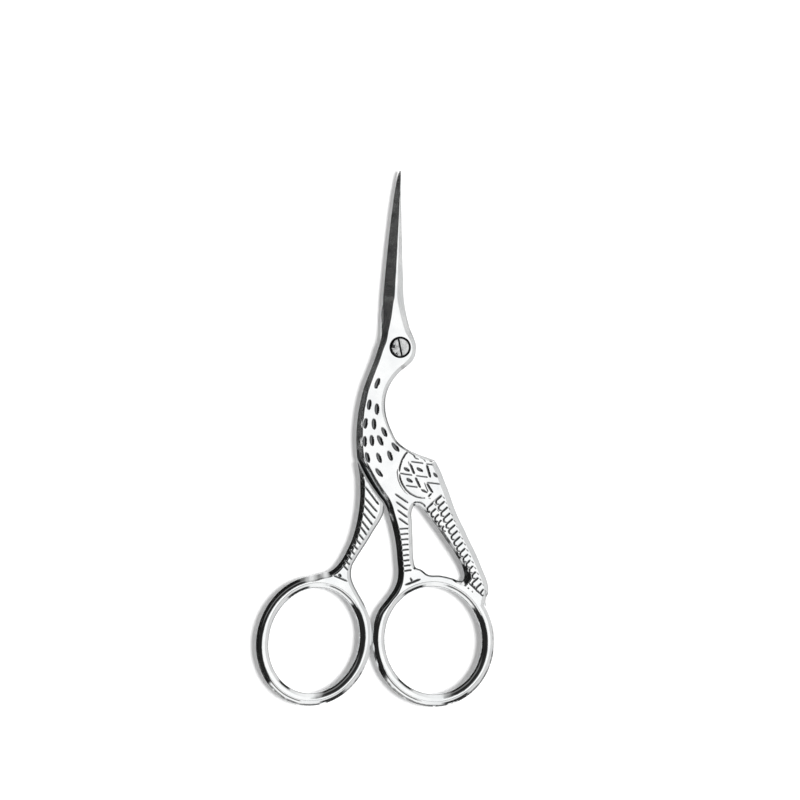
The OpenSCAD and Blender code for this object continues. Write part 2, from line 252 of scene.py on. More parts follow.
def inside(points, polygon):
    """True for each point that lies inside the polygon."""
    x, y = points[:, 0][:, None], points[:, 1][:, None]
    a, b = polygon, np.roll(polygon, -1, 0)
    crosses = (a[:, 1] > y) != (b[:, 1] > y)
    with np.errstate(divide="ignore", invalid="ignore"):
        at = (b[:, 0] - a[:, 0]) * (y - a[:, 1]) / (b[:, 1] - a[:, 1]) + a[:, 0]
    return (np.sum(crosses & (x < at), axis=1) % 2) == 1


def front_loops(spacing):
    """Outline of the front half: outer edge, finger opening and the gap beside the leg."""
    blade = [blade_row(t) for t in BLADE_STEPS]
    spine = rim([(r[0], r[3]) for r in blade], *blade_flank(blade, 0.9, 0.555), 0.06, 0, 1)
    neck = rim(NECK_LEFT, [1.72, 1.22, 1.13, 1.1, 1.08, 1.08, 1.15, 1.25, 1.35, 1.4, 1.45],
               [0.66, 0.76, 0.78, 0.8, 0.82, 0.84], 0.1, 0, 1)
    body = rim([seam(t, SEAM) for t in (0.04, 0.2, 0.4, 0.6, 0.8, 0.97)],
               [1.5, 1.7, 1.6, 1.4], 0.84, 0.12, 0, 1)
    leg = rim(LEG_LEFT, [1.35, 1.3, 1.25, 1.3, 1.37], [0.84, 0.84, 0.88], [0.12, 0.12, 0.5], 0, 1)
    ring = bow_rim(FRONT_BOW, 143, 360 + 34, WIRE / 2, 2)
    # the tail, the body's top edge and the triangular opening carry painted shade at their very edge
    tail = rim(TAIL_OUTER, [1.14, 1.1, 1.05, 1.1, 1.2, 1.2, 1.1], [0.88, 0.8, 0.8, 0.8],
               [0.5, 0.15, 0.12, 0.12], 0.05, 3)
    top = rim(BODY_TOP, [0.6, 0.5, 0.6, 0.8, 0.85, 0.85, 0.9, 0.85, 0.95, 1.3, 1.35],
              0.8, 0.15, [0.1, 0.05, 0.26, 0.26, 0.05, 0.05, 0.05, 0.05, 0.1, 0.05], 4)
    back = blade[::-1]
    edge = rim([(r[1], r[3]) for r in back], *blade_flank(back, 0.1, 0.34), 0.1, 0, 4)
    return [
        loop_of([np.vstack([spine, neck, body, leg, ring[1:-1], tail]), np.vstack([top, edge])],
                spacing),
        loop_of([bow_rim(FRONT_BOW, 0, 354, -WIRE / 2, 6)], spacing, hole=True),
        loop_of([rim(TRIANGLE, TRIANGLE_FLANK, 0.86, 0.15, TRIANGLE_EDGE_SHADE, 5)], spacing, hole=True),
    ]


def back_loops(spacing):
    """Outline of the back half: outer edge and finger opening."""
    blade = [blade_row(t) for t in BLADE_STEPS[:-2]]
    # painted shade at the very edge of the back half where it shows beside the front half near the
    # heel, and along the thigh's right edge
    edge = rim([(r[0] + 0.06, r[3]) for r in blade], *blade_flank(blade, 0.2, 0.34), 0.1,
               [0, 0, 0, 0, 0, 0, 0, 0, 0, 0, 0.9], 0)
    nub = [0, 0.1, 0.3, 0.5, 0.5, 0.35, 0.1] + [0] * 7
    left = rim(HIDDEN_LEFT, [1.3, 1.1, 1, 1, 1.05, 1.1, 1.2], 0.8, 0.12,
               [1, 1, 0.8, 0.2, 0, 0, 0, 0], 0, nub)
    thigh = rim(THIGH_LEFT, [1.2, 1.1, 1, 1, 1.1, 1.2, 1.29], [0.84, 0.84, 0.84, 0.88],
                [0.12, 0.12, 0.12, 0.5], 0, 0)
    ring = bow_rim(BACK_BOW, 101, 360 + 49, WIRE / 2, 1)
    right = rim(THIGH_RIGHT, [1.17, 1.05, 1, 0.95, 0.95, 0.95], [0.88, 0.8, 0.8, 0.8],
                [0.5, 0.3, 0.15, 0.15], 0.24, 2)
    under = rim(HIDDEN_RIGHT, [0.85, 0.85, 0.9, 0.9, 1.2, 1.9], [0.8, 0.8, 0.8, 0.7], 0.12, 0, 2)
    back = blade[::-1]
    spine = rim([(r[1] - 0.03, r[3]) for r in back], *blade_flank(back, 0.9, 0.58), 0.06, 0, 3)
    return [
        loop_of([np.vstack([edge, left, thigh, ring[1:-1], right]), np.vstack([under, spine])],
                spacing),
        loop_of([bow_rim(BACK_BOW, 0, 354, -WIRE / 2, 4)], spacing, hole=True),
    ]


# Ornament, in mm from the pivot

# Feather marks: x, y, turn in degrees, positive to the left
FEATHERS = [
    (-4.91, -7.65, -20), (-6.63, -12.16, -8), (-4.99, -13.11, 0), (-7.42, -16.13, -8),
    (-5.61, -16.28, 3), (-3.44, -17.96, 25), (-7.56, -19.95, 0), (-6.06, -19.76, 5),
    (-4.29, -19.76, 25), (-1.06, -21.17, 38), (-6.99, -23.35, 15), (-4.55, -23.44, 20),
    (-2.21, -23.01, 20), (-4.53, -26.58, 38),
]
# Seed marks in the wing panel, as share of a feather's length and width
SEEDS = [
    (4.1, -25.95, 57, 0.66, 0.8), (1.32, -25.9, 57, 0.6, 0.8), (7.5, -27.12, 43, 0.62, 0.72),
    (1.93, -28.22, 57, 0.62, 0.78), (5.04, -30.49, 61, 0.62, 0.55), (14.41, -51.13, 0, 0.12, 0.3),
    (15.26, -51.87, 0, 0.09, 0.22), (-12.84, -48.4, 30, 0.3, 0.75),
]
# The upper feathers, which flatten the flank round them
NECK_FEATHERS = FEATHERS[:11]
# Half the width and length of the patch that a feather flattens
LOBE_WIDE, LOBE_LONG = 0.5, 1.25
# The line between body and thigh, beside which shade is painted on the flanks
LAP_LINE = [seam(t, 0) for t in np.linspace(-0.02, 1.02, 60)]
# Graver strokes of the wing panel and the feet: size as share of the groove, then points
WING = [
    (0.95, [(1.64, -21.99), (0.89, -22.87), (0.3, -23.99), (-0.13, -25.31), (-0.25, -26.3)]),
    (1.05, [(-0.2, -26.95), (-0.08, -27.86), (0.38, -29.03), (1.1, -30.09), (2.19, -31.11),
            (3.36, -31.73), (4.59, -32), (5.2, -31.95)]),
    (0.5, [(-0.5, -25.6), (-0.74, -26.48), (-0.51, -28.07), (0.02, -29.45), (0.89, -30.66),
           (1.6, -31.3)]),
    (0.8, [(1.64, -21.99), (2.19, -22.44), (2.8, -22.82), (3.06, -23.35), (3.44, -23.67),
           (3.85, -23.72)]),
    (0.5, [(4.06, -23.44), (4.59, -23.5), (5.04, -23.89), (5.29, -24.3)]),
    (0.9, [(6.3, -24.12), (6.9, -24.28)]),
    (1.1, [(2.3, -24.27), (3.57, -24.42), (4.82, -24.61)]),
    (1, [(5.52, -24.74), (6.33, -24.84), (6.95, -24.95)]),
    (1.3, [(2.08, -24.69), (2.47, -25.73), (2.93, -26.86)]),
    (1.3, [(5.59, -24.99), (5.95, -26.22), (6.33, -27.58)]),
    (1, [(3.32, -27.22), (4.74, -27.43), (5.7, -27.55)]),
    (1.1, [(-0.08, -26.7), (1.02, -26.92), (2.47, -27.12)]),
    (1.3, [(3.21, -27.62), (3.68, -28.67), (4.21, -29.75)]),
    (1.1, [(1.21, -29.32), (2.55, -29.54), (3.6, -29.68)]),
    (0.55, [(1.65, -24.2), (1.95, -25.3)]),
    (1.1, [(8.5, -29.05), (7.18, -28.86), (5.65, -28.71)]),
    (1.25, [(5.65, -28.9), (6.2, -29.88), (6.82, -30.81)]),
    (0.95, [(6.6, -31.0), (6.15, -31.4), (5.9, -31.75)]),
    (0.9, [(5.95, -32.05), (6.35, -32.1)]),
    (0.55, [(5.05, -28.7), (5.42, -29.73), (5.85, -30.64)]),
    (0.5, [(8.75, -31.2), (7.5, -32.3), (6.2, -33.4)]),
    (0.95, [(2.75, -33.15), (3.35, -32.85), (4.1, -32.87), (4.8, -33.2), (5.25, -33.75)]),
    (1, [(14.5, -50.0), (15.47, -50.85), (16.4, -51.75), (17.1, -52.4)]),
]
# Straight cuts of leg and thigh, from point to point, and their size
CUT_SIZE = 1.15
LEG_CUTS = [
    (-1.1, -31.1, 1.57, -32.98), (-0.9, -32.75, 1.47, -34.51), (-0.6, -34.5, 1.57, -36.15),
    (-0.3, -36.25, 1.66, -37.66), (-0.25, -38.57, 1.72, -38.42), (-0.08, -39.72, 1.72, -39.52),
    (0.09, -40.84, 1.74, -40.65), (0.19, -41.99, 1.76, -41.78), (0.34, -43.1, 1.83, -42.86),
    (0.47, -44.22, 1.87, -43.99), (0.57, -45.35, 2, -45.09), (0.68, -46.45, 2.17, -46.18),
    (0.77, -47.52, 2.3, -47.22), (1, -50.47, 4.21, -49.19), (2.12, -48.88, 2.47, -49.75),
]
THIGH_CUTS = [
    (-7.48, -29.54, -4.63, -33.38), (-7.69, -31.77, -4.95, -34.91), (-7.8, -33.38, -5.35, -36.34),
    (-7.99, -35.02, -5.86, -37.76), (-8.31, -36.66, -6.57, -38.89), (-8.61, -37.87, -7.08, -39.91),
    (-8.9, -39.5, -7.69, -40.93), (-9.48, -40.67, -8.33, -41.91), (-10.07, -41.78, -8.97, -42.97),
    (-10.67, -42.9, -9.6, -44.03), (-11.22, -43.99, -10.2, -45.09), (-11.73, -45.13, -10.67, -46.2),
    (-12.15, -46.2, -11.05, -47.32), (-14.2, -48.42, -11.24, -49.66),
]
# Upper ends of the cuts between the tail's scales, and how far each cut runs before it bends
TAIL_ROWS = [
    ([(8.73, -31.47), (10, -33.8), (11, -36.13), (11.95, -38.47), (13, -40.87), (14, -43.2),
      (15, -45.5), (16.08, -47.83), (16.6, -49), (17.25, -50.17), (17.7, -51.33)],
     [1.35, 1.6, 1.6, 1.5, 1.5, 1.15, 0.8, 0.75, 1.6, 1.2, 0.6]),
    ([(6.93, -33), (8.13, -35.4), (9.27, -37.87)], [1.4, 0.85, 0.25]),
]


# The screw and its seat: radii, then heights above the table
HEAD_RADIUS, SEAT_RADIUS, SHOULDER_RADIUS, BORE_RADIUS = 2.075, 2.295, 1.45, 1.49
SHANK_RADIUS, END_RADIUS = 1.1, 1.04
HEAD_TOP, SLOT_FLOOR, HEAD_UNDER, SEAT_FLOOR = 3.3, 2.85, 2.5, 2.46
SHOULDER_END, SHANK_END, SCREW_END = 1.68, 0.06, 0.01
SLOT_TURN, SLOT_HALF = math.radians(101), 0.2


# Small helpers


def paint(hexcode):
    """sRGB hex colour to the linear values that shaders use."""
    v = [int(hexcode[i : i + 2], 16) / 255 for i in (1, 3, 5)]
    return tuple(c / 12.92 if c <= 0.04045 else ((c + 0.055) / 1.055) ** 2.4 for c in v) + (1.0,)


def add(tree, kind, feeds=None, stops=(), **settings):
    """Adds one node and sets it. An input takes a value, an output, a node, which stands for its
    first output, or a list of these; stops are (position, colour or grey) along a ramp."""
    node = tree.nodes.new(kind)
    for name, value in settings.items():
        setattr(node, name, value)
    for key, values in (feeds or {}).items():
        for value in values if isinstance(values, list) else [values]:
            if isinstance(value, bpy.types.Node):
                value = value.outputs[0]
            if isinstance(value, bpy.types.NodeSocket):
                tree.links.new(value, node.inputs[key])
            else:
                node.inputs[key].default_value = value
    for number, (position, tone) in enumerate([stops[0], stops[-1], *stops[1:-1]] if stops else []):
        elements = node.color_ramp.elements
        element = elements[number] if number < 2 else elements.new(position)
        element.position = position
        element.color = tone if isinstance(tone, tuple) else (tone, tone, tone, 1)
    return node


def linked(name, data):
    """An object for a mesh, a lamp or a camera, in the scene."""
    made = bpy.data.objects.new(name, data)
    bpy.context.scene.collection.objects.link(made)
    return made


def input_named(tree, name):
    """The identifier of a node group's input."""
    for item in tree.interface.items_tree:
        if item.item_type == "SOCKET" and item.in_out == "INPUT" and item.name == name:
            return item.identifier
    raise RuntimeError(f"the tree {tree.name} has no input named {name}")


def new_tree(name, inputs):
    """A geometry tree with a mesh in, a mesh out and the named inputs."""
    tree = bpy.data.node_groups.new(name, "GeometryNodeTree")
    tree.interface.new_socket("Mesh", in_out="INPUT", socket_type="NodeSocketGeometry")
    tree.interface.new_socket("Mesh", in_out="OUTPUT", socket_type="NodeSocketGeometry")
    for label, kind, value in inputs:
        socket = tree.interface.new_socket(label, in_out="INPUT", socket_type=kind)
        if value is not None:
            socket.default_value = value
    return tree


def groove_profile(tree, width, depth):
    """The graver's section: a shallow round-bottomed groove of that width and depth."""
    arc = add(tree, "GeometryNodeCurveArc", {
        "Resolution": 5, "Radius": 1.0, "Start Angle": math.radians(20),
        "Sweep Angle": math.radians(140)}, mode="RADIUS")
    half = add(tree, "ShaderNodeMath", {0: width, 1: 0.532}, operation="MULTIPLY")
    tall = add(tree, "ShaderNodeMath", {0: depth, 1: 1.52}, operation="MULTIPLY")
    rise = add(tree, "ShaderNodeMath", {0: depth, 1: -0.52}, operation="MULTIPLY")
    size = add(tree, "ShaderNodeCombineXYZ", {0: half, 1: tall, 2: 1.0})
    lift = add(tree, "ShaderNodeCombineXYZ", {0: 0.0, 1: rise, 2: 0.0})
    return add(tree, "GeometryNodeTransform", {
        "Geometry": arc, "Scale": size,
        "Translation": lift})


def sweep_and_finish(tree, curve, given):
    """Runs the graver along the curves, thins each stroke at its ends and sets the material."""
    even = add(tree, "GeometryNodeResampleCurve", {"Curve": curve, "Length": given["Spacing"]},
               mode="LENGTH")
    upright = add(tree, "GeometryNodeSetCurveNormal", {"Curve": even}, mode="Z_UP")
    way = add(tree, "GeometryNodeSplineParameter").outputs["Factor"]
    other = add(tree, "ShaderNodeMath", {0: 1.0, 1: way}, operation="SUBTRACT")
    near = add(tree, "ShaderNodeMath", {0: way, 1: other}, operation="MINIMUM")
    ends = add(tree, "ShaderNodeMapRange", {
        "Value": near, "From Min": 0.0, "From Max": 0.12,
        "To Min": given["End size"], "To Max": 1.0})
    scale = add(tree, "GeometryNodeInputNamedAttribute", {"Name": "cut"}, data_type="FLOAT")
    size = add(tree, "ShaderNodeMath", {0: ends, 1: scale}, operation="MULTIPLY")
    swept = add(tree, "GeometryNodeCurveToMesh", {
        "Curve": upright,
        "Profile Curve": groove_profile(tree, given["Width"], given["Depth"]),
        "Scale": size})
    real = add(tree, "GeometryNodeRealizeInstances", {"Geometry": swept})
    steel = add(tree, "GeometryNodeSetMaterial", {"Geometry": real, "Material": given["Material"]})
    add(tree, "NodeGroupOutput", {0: steel})


GROOVE_INPUTS = [
    ("Width", "NodeSocketFloat", 0.34), ("Depth", "NodeSocketFloat", 0.2),
    ("Spacing", "NodeSocketFloat", 0.25), ("End size", "NodeSocketFloat", 0.5),
    ("Material", "NodeSocketMaterial", None),
]


def graver_tree():
    """Strokes: every edge path of the mesh becomes a groove."""
    tree = new_tree("Graver strokes", GROOVE_INPUTS)
    given = add(tree, "NodeGroupInput").outputs
    sweep_and_finish(tree, add(tree, "GeometryNodeMeshToCurve", {"Mesh": given["Mesh"]}), given)
    return tree


def scale_tree():
    """Tail scales: at every pitch along the guide, a slanting cut with a rounded end."""
    tree = new_tree("Tail scales", GROOVE_INPUTS + [
        ("Pitch", "NodeSocketFloat", 1.3), ("Scale width", "NodeSocketFloat", 1.12),
        ("Slant", "NodeSocketFloat", math.radians(221)), ("Tick size", "NodeSocketFloat", 0.6)])
    given = add(tree, "NodeGroupInput").outputs
    guide = add(tree, "GeometryNodeMeshToCurve", {"Mesh": given["Mesh"]})
    steps = add(tree, "GeometryNodeResampleCurve",
                {"Curve": guide, "Length": given["Pitch"]}, mode="LENGTH")
    length = add(tree, "GeometryNodeInputNamedAttribute", {"Name": "length"}, data_type="FLOAT")
    turn = add(tree, "ShaderNodeCombineXYZ", {2: given["Slant"]})
    spin = add(tree, "FunctionNodeEulerToRotation", {0: turn})
    cut = add(tree, "GeometryNodeCurvePrimitiveLine",
              {"Start": (0, 0, 0), "End": (1, 0, 0)}, mode="POINTS")
    long = add(tree, "ShaderNodeCombineXYZ", {0: length, 1: 1.0, 2: 1.0})
    cuts = add(tree, "GeometryNodeInstanceOnPoints", {
        "Points": steps, "Instance": cut,
        "Rotation": spin, "Scale": long})
    radius = add(tree, "ShaderNodeMath", {0: given["Scale width"], 1: 0.5}, operation="MULTIPLY")
    bend = add(tree, "GeometryNodeCurveArc", {
        "Resolution": 9, "Radius": radius, "Start Angle": math.radians(-90),
        "Sweep Angle": math.radians(150)}, mode="RADIUS")
    side = add(tree, "ShaderNodeCombineXYZ", {1: radius})
    bend_at = add(tree, "GeometryNodeTransform", {"Geometry": bend, "Translation": side})
    cosine = add(tree, "ShaderNodeMath", {0: given["Slant"]}, operation="COSINE")
    sine = add(tree, "ShaderNodeMath", {0: given["Slant"]}, operation="SINE")
    dx, dy = (add(tree, "ShaderNodeMath", {0: share, 1: length}, operation="MULTIPLY")
              for share in (cosine, sine))
    shift = add(tree, "ShaderNodeCombineXYZ", {0: dx, 1: dy})
    moved = add(tree, "GeometryNodeSetPosition", {"Geometry": steps, "Offset": shift})
    bends = add(tree, "GeometryNodeInstanceOnPoints", {
        "Points": moved, "Instance": bend_at, "Rotation": spin})
    both = add(tree, "GeometryNodeJoinGeometry", {0: [cuts, bends]})
    deep = add(tree, "GeometryNodeRealizeInstances", {"Geometry": both})
    deep = add(tree, "GeometryNodeStoreNamedAttribute", {
        "Geometry": deep, "Name": "cut", "Value": 1.0}, data_type="FLOAT",
        domain="POINT")
    tick = add(tree, "GeometryNodeCurvePrimitiveLine",
               {"Start": (0.25, -0.25, 0), "End": (0.62, -0.6, 0)}, mode="POINTS")
    ticks = add(tree, "GeometryNodeInstanceOnPoints", {"Points": steps, "Instance": tick})
    light = add(tree, "GeometryNodeRealizeInstances", {"Geometry": ticks})
    light = add(tree, "GeometryNodeStoreNamedAttribute", {
        "Geometry": light, "Name": "cut", "Value": given["Tick size"]},
        data_type="FLOAT", domain="POINT")
    sweep_and_finish(tree, add(tree, "GeometryNodeJoinGeometry", {0: [deep, light]}), given)
    return tree


def feather_tree():
    """Feather marks: a long drop-shaped punch at every point, turned and sized a little unevenly."""
    tree = new_tree("Feather marks", [
        ("Length", "NodeSocketFloat", 2.45), ("Width", "NodeSocketFloat", 0.95),
        ("Depth", "NodeSocketFloat", 0.34), ("Unevenness", "NodeSocketFloat", 0.05),
        ("Seed", "NodeSocketInt", 4), ("Material", "NodeSocketMaterial", None)])
    given = add(tree, "NodeGroupInput").outputs
    ball = add(tree, "GeometryNodeMeshUVSphere", {"Segments": 22, "Rings": 12, "Radius": 1.0})
    half_w = add(tree, "ShaderNodeMath", {0: given["Width"], 1: 0.5}, operation="MULTIPLY")
    half_l = add(tree, "ShaderNodeMath", {0: given["Length"], 1: 0.5}, operation="MULTIPLY")
    size = add(tree, "ShaderNodeCombineXYZ", {0: half_w, 1: half_l, 2: given["Depth"]})
    punch = add(tree, "GeometryNodeTransform", {"Geometry": ball, "Scale": size})
    turn = add(tree, "GeometryNodeInputNamedAttribute", {"Name": "turn"}, data_type="FLOAT")
    share = add(tree, "GeometryNodeInputNamedAttribute", {"Name": "share"},
                data_type="FLOAT_VECTOR")
    angle = add(tree, "ShaderNodeCombineXYZ", {2: turn})
    spin = add(tree, "FunctionNodeEulerToRotation", {0: angle})
    low = add(tree, "ShaderNodeMath", {0: 1.0, 1: given["Unevenness"]}, operation="SUBTRACT")
    high = add(tree, "ShaderNodeMath", {0: 1.0, 1: given["Unevenness"]}, operation="ADD")
    chance = add(tree, "FunctionNodeRandomValue", {
        2: low, 3: high, "Seed": given["Seed"]}, data_type="FLOAT")
    uneven = add(tree, "ShaderNodeVectorMath", {
        0: share, "Scale": chance.outputs[1]}, operation="SCALE")
    marks = add(tree, "GeometryNodeInstanceOnPoints", {
        "Points": given["Mesh"], "Instance": punch, "Rotation": spin,
        "Scale": uneven})
    real = add(tree, "GeometryNodeRealizeInstances", {"Geometry": marks})
    steel = add(tree, "GeometryNodeSetMaterial", {"Geometry": real, "Material": given["Material"]})
    add(tree, "NodeGroupOutput", {0: steel})
    return tree


def die(name, tree, points, edges, attributes, values):
    """Runs a geometry tree over a mesh of points or paths and returns the plain mesh it makes."""
    mesh = bpy.data.meshes.new(name)
    mesh.from_pydata([(p[0], p[1], 0) for p in points], edges, [])
    for key, (kind, data) in attributes.items():
        attribute = mesh.attributes.new(key, kind, "POINT")
        flat = np.array(data, np.float32).ravel()
        attribute.data.foreach_set("vector" if kind == "FLOAT_VECTOR" else "value", flat)
    host = linked(name, mesh)
    modifier = host.modifiers.new("Engraving", "NODES")
    modifier.node_group = tree
    for label, value in values.items():
        modifier[input_named(tree, label)] = value
    bpy.context.view_layer.update()
    graph = bpy.context.evaluated_depsgraph_get()
    made = bpy.data.meshes.new_from_object(host.evaluated_get(graph), depsgraph=graph)
    host.modifiers.clear()
    bpy.data.objects.remove(host)
    count = len(made.vertices)
    if not count:
        raise RuntimeError(f"the die {name} came out empty")
    co = np.zeros(count * 3, np.float32)
    made.vertices.foreach_get("co", co)
    polygons = [tuple(p.vertices) for p in made.polygons]
    bpy.data.meshes.remove(made)
    return co.reshape(-1, 3).astype(float), polygons


def stroke_points(strokes):
    """Points, edges and sizes of strokes given as (size, points)."""
    points, edges, sizes = [], [], []
    for size, path in strokes:
        start = len(points)
        points += [tuple(p) for p in path]
        sizes += [size] * len(path)
        edges += [(start + i, start + i + 1) for i in range(len(path) - 1)]
    return points, edges, sizes


# Pitch of the net under the engraving and on the flats, row height of a triangular net as share
# of its pitch, least distance between two points, and step along a ground line
FINE, GRID, ROW, POINT_GAP, LINE_STEP = 0.115, 0.5, 0.866, 0.07, 0.35
# Cell that limits the search under the dies, and the patch that is averaged
REACH = 0.25
PATCH = [(0, 0)] + [(0.045 * math.cos(a), 0.045 * math.sin(a)) for a in np.arange(6) * math.pi / 3]


def cells_near(marks, size):
    """The square cells that hold the marks, and the cells next to these."""
    cell = np.floor(marks / size).astype(int)
    near = np.vstack([cell + (i, j) for i in (-1, 0, 1) for j in (-1, 0, 1)])
    return {tuple(c) for c in near.tolist()}


def lattice_near(marks, pitch):
    """The points of a triangular net that lie near the marks."""
    row = np.round(marks[:, 1] / (pitch * ROW)).astype(int)
    near = []
    for j in (-2, -1, 0, 1, 2):
        r = row + j
        column = np.round(marks[:, 0] / pitch - 0.5 * (r % 2)).astype(int)
        near += [np.stack([column + i, r], 1) for i in (-2, -1, 0, 1, 2)]
    near = np.unique(np.vstack(near), axis=0)
    return np.stack([(near[:, 0] + 0.5 * (near[:, 1] % 2)) * pitch, near[:, 1] * pitch * ROW], 1)


class Dies:
    """The engraving of one half: the punches' points, and how deep they press anywhere."""

    def __init__(self, parts):
        points, polygons = [], []
        for co, faces in parts:
            start = sum(len(p) for p in points)
            points.append(co)
            polygons += [tuple(start + i for i in f) for f in faces]
        self.points = np.vstack(points)
        self.tree = BVHTree.FromPolygons(self.points.tolist(), polygons)
        self.low = self.points[self.points[:, 2] < 0.02][:, :2]

    def depth(self, xy):
        """How deep the dies press at each point, averaged over the point's own patch of steel."""
        out = np.zeros(len(xy))
        cells = cells_near(self.low, REACH)
        own = np.floor(xy / REACH).astype(int).tolist()
        up = Vector((0, 0, 1))
        cast = self.tree.ray_cast
        for i, (x, y) in enumerate(xy.tolist()):
            if tuple(own[i]) not in cells:
                continue
            for dx, dy in PATCH:
                hit = cast(Vector((x + dx, y + dy, -5)), up)[0]
                if hit is not None and hit.z < 0:
                    out[i] += hit.z / len(PATCH)
        return out


# The blank


class Rim:
    """The rim of a blank, any open shoulder on it, and the flanks that fall away to them."""

    def __init__(self, loops, shoulders=()):
        self.loops = loops
        self.rows = np.vstack([*loops, *shoulders])
        start, nxt, prv = 0, [], []
        for k, rows in enumerate([*loops, *shoulders]):
            i = np.arange(len(rows))
            if k < len(loops):
                after, before = (i + 1) % len(rows), (i - 1) % len(rows)
            else:
                after, before = np.minimum(i + 1, len(rows) - 1), np.maximum(i - 1, 0)
            nxt.append(start + after)
            prv.append(start + before)
            start += len(rows)
        self.nxt, self.prv = np.concatenate(nxt), np.concatenate(prv)

    def measure(self, xy):
        """For each group of the rim: distance and the rim values nearest each point."""
        rows, p = self.rows, self.rows[:, :2]
        groups = sorted(set(rows[:, 6].astype(int)))
        found = {g: [] for g in groups}
        members = {g: np.nonzero(rows[:, 6].astype(int) == g)[0] for g in groups}
        for start in range(0, len(xy), 4000):
            q = xy[start : start + 4000]
            d2 = (q**2).sum(1)[:, None] + (p**2).sum(1)[None] - 2 * q @ p.T
            for g in groups:
                m = members[g]
                i = m[np.argmin(d2[:, m], axis=1)]
                best = None
                for a, b in ((i, self.nxt[i]), (self.prv[i], i)):
                    ab = p[b] - p[a]
                    t = np.clip(((q - p[a]) * ab).sum(1) / np.maximum((ab**2).sum(1), 1e-12), 0, 1)
                    d = np.hypot(*(q - p[a] - ab * t[:, None]).T)
                    value = rows[a] + (rows[b] - rows[a]) * t[:, None]
                    if best is None:
                        best = (d, value)
                    else:
                        closer = d < best[0]
                        best = (np.where(closer, d, best[0]),
                                np.where(closer[:, None], value, best[1]))
                found[g].append(np.hstack([best[0][:, None], best[1]]))
        return [np.vstack(found[g]) for g in groups]


def flank(d, value):
    """How far the surface lies below the flat, at distance d from the rim."""
    width, slope, arc = value[:, 2], value[:, 3], value[:, 4]
    x = np.clip(width - d, 0, None)
    tilt = np.arctan(slope)
    turn = arc * width
    radius = turn / np.sin(tilt)
    crown = radius - np.sqrt(np.clip(radius**2 - np.minimum(x, turn) ** 2, 0, None))
    return crown + np.clip(x - turn, 0, None) * slope


# Where a flank carries mesh points, as share of its width and mm more; what matters most first
RING_STEPS = [(1, 0), (0.04, 0), (1, 0.08), (1, -0.08), (1, 0.2), (0.88, 0), (0.1, 0), (0.2, 0),
              (0.32, 0), (0.44, 0), (0.55, 0), (0.66, 0), (0.78, 0)]


def thin_out(sets, gap):
    """Joins point sets in order and drops points closer than gap to an earlier one."""
    taken, out = {}, []
    for points in sets:
        kept = []
        for x, y in points.tolist():
            cx, cy = int(math.floor(x / gap)), int(math.floor(y / gap))
            near = False
            for i in (cx - 1, cx, cx + 1):
                for j in (cy - 1, cy, cy + 1):
                    other = taken.get((i, j))
                    if other and (other[0] - x) ** 2 + (other[1] - y) ** 2 < gap * gap:
                        near = True
                        break
                if near:
                    break
            if not near:
                taken[(cx, cy)] = (x, y)
                kept.append((x, y))
        out.append(np.array(kept).reshape(-1, 2))
    return out


def net_of(rim_of, lines, marks, extra, grid, bore):
    """The flat triangle net of a piece, along the given lines and finest under the marks."""
    rows = rim_of.rows
    p = rows[:, :2]
    tangent = p[rim_of.nxt] - p[rim_of.prv]
    inward = np.stack([-tangent[:, 1], tangent[:, 0]], 1)
    inward /= np.linalg.norm(inward, axis=1)[:, None]
    count = len(RING_STEPS)
    want = np.concatenate([rows[:, 2] * s + more for s, more in RING_STEPS])
    rings = np.tile(p, (count, 1)) + np.tile(inward, (count, 1)) * want[:, None]
    # a ring point stays where no other part of the rim reaches it
    own = np.tile(rows[:, 6], count)
    clear = inside_material(rings, rim_of)
    for group, m in zip(sorted(set(rows[:, 6])), rim_of.measure(rings)):
        clear &= (m[:, 0] > 0.97 * want) | ((own != group) & (m[:, 0] > m[:, 3]))
    lo, hi = p.min(0), p.max(0)
    gx = np.arange(lo[0], hi[0], grid)
    gy = np.arange(lo[1], hi[1], grid * ROW)
    hexes = np.array([(x + (k % 2) * grid / 2, y) for k, y in enumerate(gy) for x in gx])
    hexes = hexes[inside_material(hexes, rim_of)]
    over = np.min(np.stack([m[:, 0] - m[:, 3] for m in rim_of.measure(hexes)]), axis=0)

    fixed, edges = [], []
    for line in lines:
        start = sum(len(f) for f in fixed)
        fixed.append(np.array(line, float))
        edges += [(start + i, start + (i + 1) % len(line)) for i in range(len(line))]
    sets = [*extra, rings[clear], hexes[over > 0.3]]
    if len(marks):
        near = lattice_near(marks, FINE)
        sets.insert(0, near[inside_material(near, rim_of)])
    free = thin_out([np.vstack(fixed), *sets], POINT_GAP)[1:]
    points = [Vector(q) for q in np.vstack([*fixed, *free]).tolist()]
    verts, _, faces, _, _, _ = delaunay_2d_cdt(points, edges, [], 0, 1e-5, True)
    xy = np.array([v[:] for v in verts])
    tri = np.array(faces, int)
    a, b, c = xy[tri[:, 0]], xy[tri[:, 1]], xy[tri[:, 2]]
    area = (b[:, 0] - a[:, 0]) * (c[:, 1] - a[:, 1]) - (b[:, 1] - a[:, 1]) * (c[:, 0] - a[:, 0])
    tri[area < 0] = tri[area < 0][:, ::-1]
    centre = (a + b + c) / 3
    keep = inside_material(centre, rim_of) & (np.abs(area) > 1e-9)
    if bore is not None:
        keep &= ~inside(centre, np.array(bore))
    tri, centre = tri[keep], centre[keep]
    used = np.unique(tri)
    renumber = np.full(len(xy), -1)
    renumber[used] = np.arange(len(used))
    return xy[used], renumber[tri], centre


